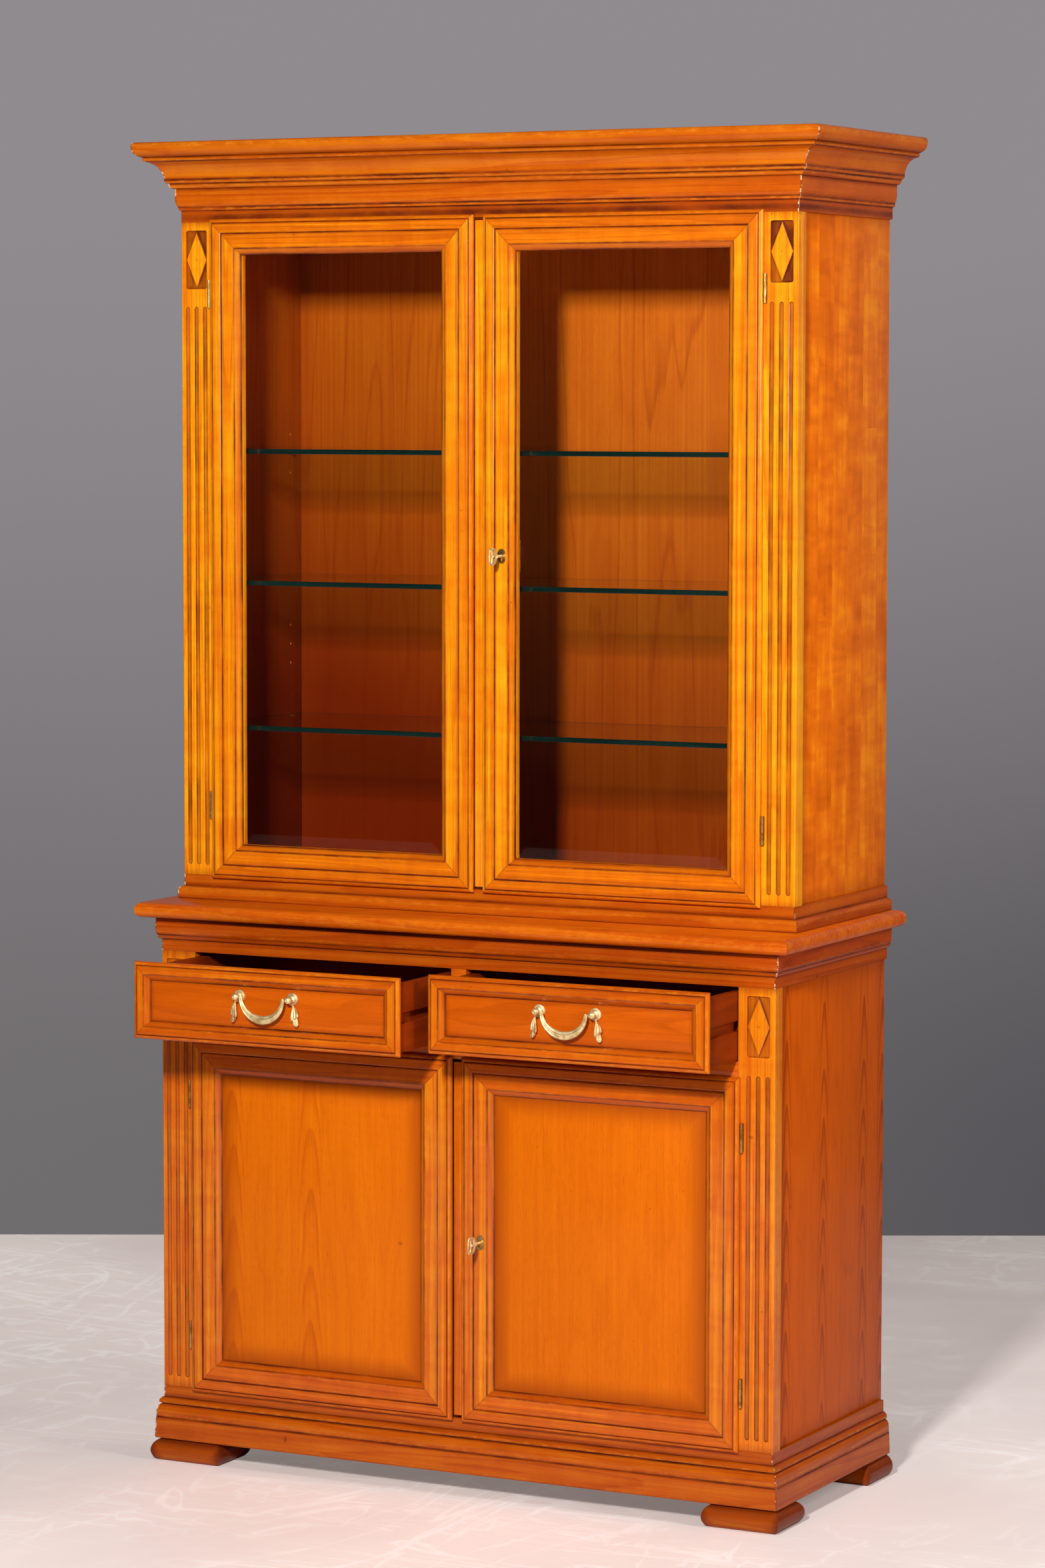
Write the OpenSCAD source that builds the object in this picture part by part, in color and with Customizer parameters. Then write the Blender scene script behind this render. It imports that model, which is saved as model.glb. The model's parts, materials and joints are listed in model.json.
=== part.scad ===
// Two-piece china cabinet: a glazed upper case on a base with two drawers and two panelled doors.
// Millimetres, +Z up, the front faces -Y. Inside the modules y = 0 is the plane of the backs.

/* [Case] */
// Width of the door and drawer openings, post to post
opening_w = 970; // [900:5:1040]
// Width of each fluted front post
post_w = 62; // [56:1:70]
// Depth of the front posts, seen from the side
post_d = 27.5; // [24:0.5:34]
// Depth of the lower case, backs to post faces
lower_d = 438; // [420:2:460]
// Depth of the upper case, backs to post faces
upper_d = 367; // [350:2:380]
// Thickness of the side panels
side_t = 16; // [14:0.5:20]
// How far the side panels lie behind the side faces of the posts
side_recess = 4.3; // [2:0.1:6]
// Thickness of the back panels
back_t = 8; // [5:0.5:12]
// Rebate behind the back panels
back_rebate = 6.5; // [4:0.5:12]
// Hairline left between the mitred lengths of one moulding
hairline = 0.1; // [0.05:0.01:0.2]

/* [Heights] */
// Height of the feet
foot_h = 36.5; // [30:0.5:45]
// Height of the plinth
plinth_h = 68; // [62:1:80]
// Height of each plain band above and below the openings
band_h = 19; // [18:0.5:24]
// Height of the lower door opening
lower_opening_h = 575; // [500:5:640]
// Height of the rail under the drawers
rail_h = 28.5; // [24:0.5:36]
// Height of the drawer openings
drawer_opening_h = 115; // [110:1:140]
// Height of the cove under the table top
cove_h = 36.5; // [33:0.5:45]
// Thickness of the table top
table_t = 24; // [20:0.5:30]
// Height of the moulding round the foot of the upper case
seat_h = 20.5; // [18:0.5:28]
// Height of the upper door opening
upper_opening_h = 1061; // [960:5:1160]
// Height of the frieze
frieze_h = 35; // [33:0.5:45]
// Height of the cornice
cornice_h = 74; // [74:0.5:90]

/* [Projections] */
// Overhang of the table top beyond the posts
table_over = 33; // [28:0.5:40]
// Projection of the plinth board
plinth_over = 11.7; // [10:0.1:16]
// Projection of the feet
foot_over = 17; // [15:0.5:22]
// Projection of the cove
cove_over = 8; // [6:0.5:12]
// Projection of the moulding round the foot of the upper case
seat_over = 7.7; // [6:0.1:12]
// Length of each foot along the front
foot_l = 131; // [110:1:160]
// Depth of each front foot
foot_front_d = 102; // [90:1:130]
// Depth of each rear foot
rear_foot_d = 93; // [80:1:120]
// Radius of the rounded edge of the feet
foot_r = 20; // [18:0.5:22]

/* [Post ornament] */
// Width of a flute at the face
flute_w = 7; // [5:0.5:7]
// Distance between flutes
flute_pitch = 16.2; // [13:0.2:19]
// Radius of the rounded bottom of a flute
flute_r = 3.7; // [3.6:0.1:5]
// Distance of the ornament's middle from the middle of the post, outward
ornament_shift = 3; // [0:0.5:4]
// Width of the sunk lozenge panel
lozenge_w = 39; // [34:1:44]
// Height of the sunk lozenge panel
lozenge_h = 94; // [80:1:110]
// Depth of its sunk ground
lozenge_sink = 3.5; // [2:0.5:6]
// Corner radius of the sunk ground
lozenge_r = 4; // [2:0.5:6]
// Distance from the top of a post to its lozenge
lozenge_top = 13; // [8:0.5:20]
// Distance from the lozenge to the flutes
flute_gap = 29; // [15:1:40]
// Distance from the flutes to the foot of a post
flute_foot = 16.5; // [10:0.5:24]

/* [Doors] */
// How far a door or drawer front laps over the post faces
lip_side = 5.3; // [5:0.1:7]
// How far it laps over the bands and the rail
lip_end = 4.5; // [3:0.1:6]
// Half of the gap between the two doors of a pair
half_gap = 8.7; // [8:0.1:12]
// Running gap behind the lips
face_gap = 0.3; // [0.3:0.05:0.6]
// Height of the outer flat of the frames over the post faces
frame_t = 12; // [11:0.5:15]
// Depth of the frames behind the post faces
frame_back = 12; // [10:0.5:14]
// Clearance of a frame inside its opening
frame_clear = 1; // [0.8:0.1:1.5]
// Width of the outer flat of a door frame
outer_flat = 14; // [10:0.5:18]
// Width of the inner flat of a door frame
inner_flat = 22.6; // [20:0.2:28]
// Width of the bevel round the pane or panel
bevel_w = 10; // [7:0.5:13]
// Width of the flat of a drawer front frame
drawer_flat = 12; // [10:0.5:14]
// Depth of the groove that holds a pane or panel
groove_d = 7; // [5:0.5:9]
// Thickness of the glass panes
pane_t = 4; // [3:0.5:5]
// Thickness of the wooden panels
panel_t = 8; // [6:0.5:9]
// Play of a pane or panel in its groove
panel_play = 0.15; // [0.1:0.05:0.3]

/* [Meeting strips] */
// Thickness of the strip that closes the gap between two doors
strip_t = 12; // [8:0.5:14]
// Gap between a strip and the passive door
strip_gap = 0.8; // [0.7:0.1:1.2]
// Open slot above and below a strip
strip_slot = 4.5; // [3:0.5:8]

/* [Hinges] */
// Length of a hinge
hinge_l = 45; // [40:1:56]
// Radius of a hinge knuckle
knuckle_r = 2.4; // [2:0.1:3]
// Radius of a hinge pin
hinge_pin_r = 1.2; // [1:0.05:1.4]
// Running clearance of a hinge pin, at the radius
pin_clear = 0.08; // [0.04:0.01:0.1]
// Distance of the hinge axis in front of the post faces
hinge_t = 4.2; // [4:0.1:5]
// Thickness of a hinge leaf
leaf_t = 1.6; // [1.2:0.1:2]
// Width of a hinge leaf beside the knuckle
leaf_w = 5.6; // [4:0.1:6]
// Distance of the upper hinges from the ends of their doors
upper_hinge_in = 120; // [80:1:160]
// Distance of the lower hinges from the ends of their doors
lower_hinge_in = 93.5; // [70:0.5:140]

/* [Locks] */
// Distance of a key from the edge of its door
lock_in = 36.3; // [34:0.1:42]
// Width of an escutcheon
escutcheon_w = 13; // [12:0.5:16]
// Height of an escutcheon
escutcheon_h = 23; // [20:0.5:28]
// Thickness of an escutcheon
escutcheon_t = 1.2; // [0.8:0.1:2]
// Radius of a key's shank
shank_r = 2.2; // [1.8:0.1:2.6]
// Distance from the post faces to the centre of a key's bow
bow_out = 42; // [38:1:50]
// Height of a key's bow
bow_h = 28; // [24:0.5:32]
// Length of a key's bow along the shank
bow_l = 24; // [20:0.5:28]
// Thickness of the ring of a bow
bow_t = 3.2; // [2.5:0.1:4]
// Width of a lock case
lock_w = 68; // [60:1:76]
// How far a lock case reaches past the middle of the cabinet
lock_reach = 5; // [3:0.5:6]
// Height of a lock case
lock_h = 50; // [44:1:64]
// Depth of a lock case behind the door
lock_d = 10; // [9:0.5:14]
// Height of a lock bolt
bolt_h = 14; // [10:0.5:18]
// Thickness of a lock bolt
bolt_t = 4; // [3:0.5:5]
// Length of a lock bolt
bolt_l = 38; // [30:1:44]

/* [Drawers] */
// How far the left drawer stands open
left_open = 171; // [0:1:200]
// How far the right drawer stands open
right_open = 111; // [0:1:200]
// Thickness of a drawer's sides
drawer_side_t = 14; // [12:0.5:16]
// Height of a drawer's sides
drawer_side_h = 106.5; // [90:0.5:108]
// Room between a closed drawer and the back panel
drawer_behind = 41.5; // [20:0.5:80]
// Clearance beside and under a drawer
drawer_clear = 1.5; // [1:0.1:2.5]
// Thickness of a drawer's bottom
drawer_bottom_t = 6; // [4:0.5:9]
// Height of the runner groove in the drawer sides
runner_groove_h = 17; // [14:0.5:20]
// Depth of the runner groove
runner_groove_d = 7; // [5:0.5:8]
// Clearance of a runner in its groove
runner_clear = 0.5; // [0.3:0.1:1]
// Thickness of the partition between the drawers
partition_t = 18; // [14:0.5:20]
// Width of the upright between the drawer openings
divider_w = 26.5; // [24:0.5:34]

/* [Pulls] */
// Distance between the two rosettes of a pull
pull_pitch = 96; // [90:1:110]
// Height of the rosettes over the middle of a drawer front
pull_up = 17; // [10:0.5:20]
// Radius of a rosette
rosette_r = 10; // [8:0.5:12]
// Radius of the ball in front of a rosette
ball_r = 5.8; // [5:0.1:7]
// Distance of the ball's centre from the drawer panel
ball_out = 14.7; // [13:0.1:18]
// Radius of the bail's outer edge
bail_r = 39.5; // [38:0.5:42]
// Thickness of the bail in the middle
bail_mid_t = 10.4; // [8:0.2:12]
// Thickness of the bail at its ends
bail_end_t = 4.8; // [4:0.2:6]
// Radius of the bail's pivots
pivot_r = 1.5; // [1.2:0.1:1.8]
// Length of a tassel
tassel_l = 37; // [30:1:42]
// Width of a tassel
tassel_w = 11; // [9:0.5:13]

/* [Shelves] */
// Thickness of the glass shelves
glass_shelf_t = 8; // [6:0.5:10]
// Gap between the glass shelves and the posts in front of them
glass_shelf_gap = 1; // [0.5:0.1:20]
// Gap between a shelf and the back panel
shelf_back_gap = 1; // [0.5:0.1:10]
// Height of the undersides of the glass shelves over the floor of the upper case
glass_shelf_up = [237.5, 474, 687.5];
// Thickness of the wooden shelf in the base
wood_shelf_t = 18; // [16:0.5:22]
// Height of its underside over the floor of the base
wood_shelf_up = 248; // [150:1:400]
// Distance from the post faces to the front of the wooden shelf
wood_shelf_in = 42.5; // [38:0.5:80]
// Clearance of each shelf between the sides
shelf_clear = 1; // [0.5:0.1:2]
// Radius of the shelf pins
shelf_pin_r = 2.5; // [2:0.1:3]
// Clearance of the pins in their holes
pin_hole_clear = 0.05; // [0.02:0.01:0.1]
// Length of a pin in front of the side panel
shelf_pin_out = 7; // [5:0.5:9]
// Depth of the pin holes
pin_hole_d = 9; // [7:0.5:11]
// Distance of the rear pins from the back panel
pin_from_back = 37; // [30:1:60]
// Distance between spare pin holes
pin_hole_pitch = 32; // [25:1:40]
// Heights of the middle of each row of three spare holes over the floor of the upper case
spare_rows = [364, 685];

/* [Hidden] */
$fn = 48;

wood = [0.80, 0.42, 0.12];
dark_wood = [0.62, 0.30, 0.10];
inner_wood = [0.72, 0.42, 0.18];
brass = [0.93, 0.80, 0.52];
clear_glass = [0.75, 0.85, 0.82, 0.35];

// Widths
half_open = opening_w / 2;
half_w = half_open + post_w;
wall = side_recess + side_t;
half_in = half_w - wall;
back_y = -(back_rebate + back_t);

// Levels, from the floor up
z_plinth = foot_h;
z_low_band = z_plinth + plinth_h;
z_low_open = z_low_band + band_h;
z_rail = z_low_open + lower_opening_h;
z_drawer = z_rail + rail_h;
z_top_band = z_drawer + drawer_opening_h;
z_cove = z_top_band + band_h;
z_table = z_cove + cove_h;
z_seat = z_table + table_t;
z_up_band = z_seat + seat_h;
z_up_open = z_up_band + band_h;
z_up_top = z_up_open + upper_opening_h;
z_frieze = z_up_top + band_h;
z_cornice = z_frieze + frieze_h;

// Doors and drawer fronts: s runs inward from the edge of the lip, t forward from the post faces
lip_in = lip_side + frame_clear;
groove_end = 8;
door_edge = groove_end + outer_flat + 3 + inner_flat + bevel_w;
drawer_edge = groove_end + drawer_flat + bevel_w;
step_drop = 1.5;
bevel_low = 3.2;
pane_front = 2.2;
drawer_back = 10;
door_w = half_open + lip_side - half_gap;
hinge_x = half_open + lip_side + knuckle_r + 0.3;
drawer_front_w = door_w;
drawer_front_h = drawer_opening_h + 2 * lip_end;
lock_z_up = z_up_open + upper_opening_h / 2;
lock_z_low = z_low_open + lower_opening_h / 2;
lock_x = half_gap + lock_in;
keyway_r = 5.6;

// Pulls
pull_z = z_drawer + drawer_opening_h / 2 + pull_up;
pull_x = half_gap + drawer_front_w / 2;
panel_face = pane_front;

// The origin is under the middle of the box round the cabinet as it stands
front_reach = lower_d + left_open + panel_face + ball_out + ball_r;
shift_y = front_reach / 2;

// Points on an elliptical arc from angle a0 to a1
function arc(cx, cy, rx, ry, a0, a1, n = 8) = [for (i = [0 : n])
    let (a = a0 + (a1 - a0) * i / n) [cx + rx * cos(a), cy + ry * sin(a)]];

module rounded_rect(w, h, r) {
    square([w - 2 * r, h], center = true);
    square([w, h - 2 * r], center = true);
    for (x = [-1, 1], y = [-1, 1]) translate([x * (w / 2 - r), y * (h / 2 - r)]) circle(r);
}

// ---- Mouldings that run round the front and both sides ----

// One length along the front, mitred at both ends: profile points are [projection, height]
module front_length(profile, d, reach) {
    cut = hairline / 2;
    intersection() {
        translate([half_w + reach, 0, 0]) rotate([90, 0, -90])
            linear_extrude(2 * (half_w + reach)) polygon([for (q = profile) [d + q[0], q[1]]]);
        translate([0, 0, -1]) linear_extrude(z_cornice) polygon([
            [-(half_w + reach - cut), -(d + reach)], [half_w + reach - cut, -(d + reach)],
            [half_w - wall - cut, -(d - wall)], [-(half_w - wall - cut), -(d - wall)]]);
    }
}

// One length along the right side, mitred at the front
module side_length(profile, d, reach) {
    cut = hairline / 2;
    intersection() {
        rotate([90, 0, 0]) linear_extrude(d + reach)
            polygon([for (q = profile) [half_w + q[0], q[1]]]);
        translate([0, 0, -1]) linear_extrude(z_cornice) polygon([
            [half_w + reach, -(d + reach - cut)], [half_w + reach, 0],
            [half_w - wall, 0], [half_w - wall, -(d - wall - cut)]]);
    }
}

module moulding(profile, d, z, reach = 80) {
    closed = concat([[-wall, profile[0][1]]], profile, [[-wall, profile[len(profile) - 1][1]]]);
    translate([0, 0, z]) {
        front_length(closed, d, reach);
        side_length(closed, d, reach);
        mirror([1, 0, 0]) side_length(closed, d, reach);
    }
}

// ---- Base ----

module foot_profile(l, rear_flat = false) {
    intersection() {
        union() {
            translate([foot_r, 0]) square([l - (rear_flat ? 1 : 2) * foot_r, foot_h]);
            translate([foot_r, foot_h - foot_r]) circle(foot_r);
            if (!rear_flat) translate([l - foot_r, foot_h - foot_r]) circle(foot_r);
        }
        square([l, foot_h]);
    }
}

module foot(depth, rear_flat) {
    intersection() {
        rotate([90, 0, 0]) linear_extrude(depth) foot_profile(foot_l);
        translate([0, -depth, 0]) rotate([90, 0, 90]) linear_extrude(foot_l)
            foot_profile(depth, rear_flat);
    }
}

module feet() color(wood) for (side = [0, 1]) mirror([side, 0, 0])
    translate([half_w + foot_over - foot_l, 0, 0]) {
        translate([0, -(lower_d + foot_over - foot_front_d), 0]) foot(foot_front_d, false);
        foot(rear_foot_d, true);
    }

module plinth() color(wood) moulding(concat(
    arc(plinth_over - 2, 2, 2, 2, -90, 0, 4),
    [[plinth_over - 1.3, plinth_h - 34.5], [plinth_over - 2, plinth_h - 33]],
    arc(plinth_over - 8.5, plinth_h - 25, 6.5, 13, 0, 75, 8),
    [[plinth_over - 8.2, plinth_h - 11.5], [plinth_over - 8.2, plinth_h - 9.6]],
    [[plinth_over - 5.1, plinth_h - 9.4]],
    arc(-0.3, plinth_h - 9, plinth_over - 4.8, 9, 0, 88, 8)
), lower_d, z_plinth);

module band(d, z) moulding([[0, 0], [0, band_h]], d, z);

module lower_bottom_band() color(wood) band(lower_d, z_low_band);
module lower_top_band() color(wood) band(lower_d, z_top_band);

module flute(low, high) {
    out = sqrt(flute_r * flute_r - flute_w * flute_w / 4);
    translate([0, -out, low + flute_r]) cylinder(r = flute_r, h = high - low - 2 * flute_r);
    for (z = [low + flute_r, high - flute_r]) translate([0, -out, z]) sphere(flute_r);
}

// A front post: fluted, with a lozenge in a sunk ground above the flutes
module post(d, z, h) {
    loz_z = h - lozenge_top - lozenge_h / 2;
    flute_top = h - lozenge_top - lozenge_h - flute_gap;
    middle = post_w / 2 + ornament_shift;
    translate([half_open, -d, z]) difference() {
        cube([post_w, post_d, h]);
        for (i = [-1 : 1]) translate([middle + i * flute_pitch, 0, 0]) flute(flute_foot, flute_top);
        translate([middle, lozenge_sink, loz_z]) rotate([90, 0, 0])
            linear_extrude(lozenge_sink + 1) difference() {
                rounded_rect(lozenge_w, lozenge_h, lozenge_r);
                polygon([[-lozenge_w / 2 + 0.2, 0], [0, lozenge_h / 2 - 0.4],
                    [lozenge_w / 2 - 0.2, 0], [0, -lozenge_h / 2 + 0.4]]);
            }
    }
}

// Mortises for the case leaves of the hinges in the right-hand post face
module leaf_mortises(d, levels) for (z = levels) translate([half_open - 1, -d - 1, z - hinge_l / 2])
    cube([hinge_x + knuckle_r - half_open + 1, leaf_t + 1, hinge_l]);

module left_or_right(side) mirror([side == "left" ? 1 : 0, 0, 0]) children();

lower_hinges = [z_low_open - lip_end + lower_hinge_in, z_rail + lip_end - lower_hinge_in];
upper_hinges = [z_up_open - lip_end + upper_hinge_in, z_up_top + lip_end - upper_hinge_in];

module lower_post(side) color(wood) left_or_right(side) difference() {
    post(lower_d, z_low_open, z_top_band - z_low_open);
    leaf_mortises(lower_d, lower_hinges);
}

module upper_post(side) color(wood) left_or_right(side) difference() {
    post(upper_d, z_up_open, upper_opening_h);
    leaf_mortises(upper_d, upper_hinges);
}

rear_pin_y = back_y - pin_from_back;

// Blind holes for shelf pins, front and rear, at each height in the list
module pin_holes(front_y, heights) for (y = [front_y, rear_pin_y], z = heights)
    translate([half_in - 1, y, z]) rotate([0, 90, 0])
        cylinder(r = shelf_pin_r + pin_hole_clear, h = pin_hole_d + 1);

glass_front_y = -(upper_d - post_d - glass_shelf_gap);
wood_front_y = -(lower_d - wood_shelf_in);
shelf_rear_y = back_y - shelf_back_gap;
glass_pin_y = glass_front_y + pin_from_back;
wood_pin_y = wood_front_y + pin_from_back;
glass_pin_z = [for (up = glass_shelf_up) z_up_open + up - shelf_pin_r];
wood_pin_z = z_low_open + wood_shelf_up - shelf_pin_r;
spare_z = [for (row = spare_rows, k = [-1 : 1]) z_up_open + row + k * pin_hole_pitch];
free_spare_z = [for (z = spare_z) if (min([for (p = glass_pin_z) abs(p - z)]) > 3 * shelf_pin_r) z];

module lower_side(side) color(dark_wood) left_or_right(side) difference() {
    translate([half_in, -(lower_d - post_d), z_low_open])
        cube([side_t, lower_d - post_d, z_top_band - z_low_open]);
    pin_holes(wood_pin_y, [wood_pin_z]);
}

module upper_side(side) color(wood) left_or_right(side) difference() {
    translate([half_in, -(upper_d - post_d), z_up_open])
        cube([side_t, upper_d - post_d, upper_opening_h]);
    pin_holes(glass_pin_y, concat(glass_pin_z, free_spare_z));
}

module back_panel(low, high) color(inner_wood)
    translate([-half_in, back_y, low]) cube([2 * half_in, back_t, high - low]);

module lower_back() back_panel(z_low_band, z_table);
module upper_back() back_panel(z_up_band, z_frieze);

module board_between(d, z) color(inner_wood)
    translate([-half_in, -(d - wall), z]) cube([2 * half_in, d - wall + back_y, band_h]);

module lower_floor() board_between(lower_d, z_low_band);
module upper_floor() board_between(upper_d, z_up_band);
module upper_ceiling() board_between(upper_d, z_up_top);

module lower_shelf() color(inner_wood)
    translate([-half_in + shelf_clear, wood_front_y, z_low_open + wood_shelf_up])
        cube([2 * (half_in - shelf_clear), shelf_rear_y - wood_front_y, wood_shelf_t]);

module middle_rail() color(wood) translate([-half_open, -lower_d, z_rail])
    cube([opening_w, post_d, rail_h]);

// Upright between the drawers, with the partition behind it
module drawer_divider() color(wood) union() {
    translate([-divider_w / 2, -lower_d, z_drawer]) cube([divider_w, post_d, drawer_opening_h]);
    translate([-partition_t / 2, -lower_d + post_d - 1, z_drawer])
        cube([partition_t, lower_d - post_d + back_y + 1, drawer_opening_h]);
}

drawer_left = divider_w / 2 + drawer_clear;
drawer_right = half_open - drawer_clear;
drawer_side_l = lower_d - drawer_back + back_y - drawer_behind;
drawer_z = z_drawer + drawer_clear - 0.5;
runner_z = drawer_z + drawer_side_h / 2;
runner_h = runner_groove_h - 2 * runner_clear;
runner_edge = drawer_right - runner_groove_d + runner_clear;
runner_front = -lower_d + 12;
runner_back = back_y - 40;

module drawer_runners() color(inner_wood) for (side = [0, 1]) mirror([side, 0, 0]) {
    translate([partition_t / 2, -lower_d + post_d, runner_z - runner_h / 2])
        cube([drawer_left + runner_groove_d - runner_clear - partition_t / 2,
            runner_back + lower_d - post_d, runner_h]);
    union() {
        translate([runner_edge, runner_front, runner_z - runner_h / 2])
            cube([half_open - runner_edge, post_d, runner_h]);
        translate([runner_edge, -lower_d + post_d, runner_z - runner_h / 2])
            cube([half_in - runner_edge, runner_back + lower_d - post_d, runner_h]);
    }
}

module cove_moulding() color(wood) moulding(concat(
    arc(cove_over * 0.2, 7, cove_over * 0.55, 7, -90, 0, 5),
    [[cove_over * 0.78, 7.4]],
    arc(cove_over * 0.78, 22, cove_over * 0.22, 14, -80, 0, 5),
    [[cove_over, cove_h]]
), lower_d, z_cove);

// Edge of the table top: a flattened round, as [projection, height]
table_edge = concat(
    arc(table_over - 8, 11, 8, 11, -90, 0, 8),
    arc(table_over - 8, 12.5, 8, table_t - 14, 0, 70, 6),
    [[table_over - 8, table_t]]);

module table_top() color(wood) intersection() {
    translate([half_w + 60, 0, z_table]) rotate([90, 0, -90]) linear_extrude(2 * half_w + 120)
        polygon(concat([[0, 0]], [for (q = table_edge) [lower_d + q[0], q[1]]], [[0, table_t]]));
    translate([0, 0, z_table]) rotate([90, 0, 0]) linear_extrude(lower_d + 60)
        polygon(concat([for (q = table_edge) [half_w + q[0], q[1]]],
            [for (i = [len(table_edge) - 1 : -1 : 0]) [-half_w - table_edge[i][0], table_edge[i][1]]]));
}

// ---- Upper case ----

module upper_seat_moulding() color(wood) moulding(concat(
    arc(seat_over - 1.5, 1.5, 1.5, 1.5, -90, 0, 3),
    arc(seat_over - 4, 12, 4, 7, 0, 70, 6),
    [[0.4, seat_h - 0.2], [0.4, seat_h]]
), upper_d, z_seat);

module upper_bottom_band() color(wood) band(upper_d, z_up_band);

// The frieze board, with the plain band and the bead in one piece
module frieze() color(wood) moulding(concat(
    [[0, 0], [0, band_h]],
    arc(0.5, band_h + 3.2, 3.4, 3.2, -90, 10, 5),
    arc(1.3, band_h + 19, 6, 14, -60, 0, 6),
    [[7.3, band_h + frieze_h]]
), upper_d, z_up_top);

module cornice() color(wood) moulding(concat(
    [[7.3, 0], [9, 0.5]],
    arc(9, 6.5, 6, 6, -90, 0, 6),
    [[15, 8.4]],
    arc(15.3, 13.6, 5, 5, -90, 0, 6),
    arc(45, 14, 24.7, 29, 180, 96, 12),
    arc(42.6, 46.3, 3.2, 3, -90, 60, 6),
    [[47, 50], [49, 51]],
    arc(47, 67, 12.3, 16, -75, 0, 8),
    arc(54, 67, 5.3, 7, 0, 75, 6),
    [[54, cornice_h]]
), upper_d, z_cornice);

module glass_shelves() color(clear_glass) for (up = glass_shelf_up)
    translate([-half_in + shelf_clear, glass_front_y, z_up_open + up])
        cube([2 * (half_in - shelf_clear), shelf_rear_y - glass_front_y, glass_shelf_t]);

module shelf_pin(y, z) translate([half_in - shelf_pin_out, y, z]) rotate([0, 90, 0])
    cylinder(r = shelf_pin_r, h = shelf_pin_out + pin_hole_d - 1);

module shelf_pins() color(brass) for (side = [0, 1]) mirror([side, 0, 0]) {
    for (y = [glass_pin_y, rear_pin_y], z = glass_pin_z) shelf_pin(y, z);
    for (y = [wood_pin_y, rear_pin_y]) shelf_pin(y, wood_pin_z);
}

// ---- Hinges: five knuckles, three on the case and two on the door ----

seg = hinge_l / 5;
seg_gap = 0.15;

module knuckle(i, r_hole = 0) translate([0, 0, i * seg + seg_gap]) difference() {
    cylinder(r = knuckle_r, h = seg - 2 * seg_gap);
    if (r_hole > 0) translate([0, 0, -1]) cylinder(r = r_hole, h = seg + 2);
}

// Case leaf with its pin, for the right-hand side
module case_leaf(d, z) translate([hinge_x, -d - hinge_t, z - hinge_l / 2]) union() {
    cylinder(r = hinge_pin_r, h = hinge_l);
    for (i = [0, 2, 4]) {
        knuckle(i);
        translate([-leaf_t / 2, 0, i * seg + seg_gap])
            cube([leaf_t, hinge_t + 0.5, seg - 2 * seg_gap]);
    }
    translate([half_open + 0.3 - hinge_x, hinge_t, 0.2])
        cube([hinge_x - half_open - 0.3 + knuckle_r - 0.2, leaf_t, hinge_l - 0.4]);
}

// Door leaf, let into the back of the lip
module door_leaf(d, z) translate([hinge_x, -d - hinge_t, z - hinge_l / 2]) {
    difference() {
        union() {
            for (i = [1, 3]) {
                knuckle(i);
                translate([-leaf_w, hinge_t - face_gap - leaf_t, i * seg + seg_gap])
                    cube([leaf_w, leaf_t, seg - 2 * seg_gap]);
            }
            translate([-knuckle_r - 0.3 - leaf_w, hinge_t - face_gap - leaf_t, 0.2])
                cube([leaf_w, leaf_t, hinge_l - 0.4]);
        }
        translate([0, 0, -1]) cylinder(r = hinge_pin_r + pin_clear, h = hinge_l + 2);
    }
}

// Pocket for the door leaf in the back of the lip
module door_leaf_pocket(d, z)
    translate([hinge_x - knuckle_r - 0.35 - leaf_w, -d - face_gap - leaf_t - 0.05, z - hinge_l / 2])
        cube([leaf_w + 3, leaf_t + 0.1, hinge_l]);

module case_hinge_leaves() color(brass) for (side = [0, 1]) mirror([side, 0, 0]) {
    for (z = upper_hinges) case_leaf(upper_d, z);
    for (z = lower_hinges) case_leaf(lower_d, z);
}

module door_hinge_leaves(side, d, levels) color(brass) left_or_right(side)
    for (z = levels) door_leaf(d, z);

// ---- Framed doors and drawer fronts ----

// Section of a frame, as [s, t]: rounded lip, quirk, flats, bevel and the groove for the pane
function frame_section(edge, back, fill_t, stepped) = concat(
    [[lip_in, -back], [lip_in, face_gap]],
    arc(5.5, 4, 5.5, 6.5, 214, 90, 8),
    [[6.6, 8.8], [groove_end, frame_t]],
    stepped ? [[groove_end + outer_flat, frame_t], [groove_end + outer_flat + 1, frame_t - 2.6],
        [groove_end + outer_flat + 3, frame_t - step_drop]] : [],
    [[edge - bevel_w, stepped ? frame_t - step_drop : frame_t], [edge, bevel_low]],
    [[edge, pane_front + panel_play], [edge - groove_d, pane_front + panel_play],
        [edge - groove_d, pane_front - fill_t - panel_play], [edge, pane_front - fill_t - panel_play],
        [edge, -back]]);

// One member of a frame along +X from the corner of the lip, mitred at both ends, front to -Y
module frame_member(l, section, edge) {
    cut = hairline / 2;
    intersection() {
        rotate([90, 0, 90]) linear_extrude(l) polygon([for (q = section) [-q[1], q[0]]]);
        translate([0, 60, 0]) rotate([90, 0, 0]) linear_extrude(120)
            polygon([[cut, 0], [l - cut, 0], [l - edge - cut, edge], [edge + cut, edge]]);
    }
}

// Four members round a rectangle w by h whose low corner is the origin
module frame(w, h, section, edge) {
    frame_member(w, section, edge);
    translate([w, 0, 0]) rotate([0, -90, 0]) frame_member(h, section, edge);
    translate([w, 0, h]) rotate([0, 180, 0]) frame_member(w, section, edge);
    translate([0, 0, h]) rotate([0, 90, 0]) frame_member(h, section, edge);
}

// The pane or panel that sits in the grooves of such a frame
module infill(w, h, edge, fill_t) {
    inset = edge - groove_d + 0.5;
    translate([inset, -pane_front, inset]) cube([w - 2 * inset, fill_t, h - 2 * inset]);
}

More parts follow.
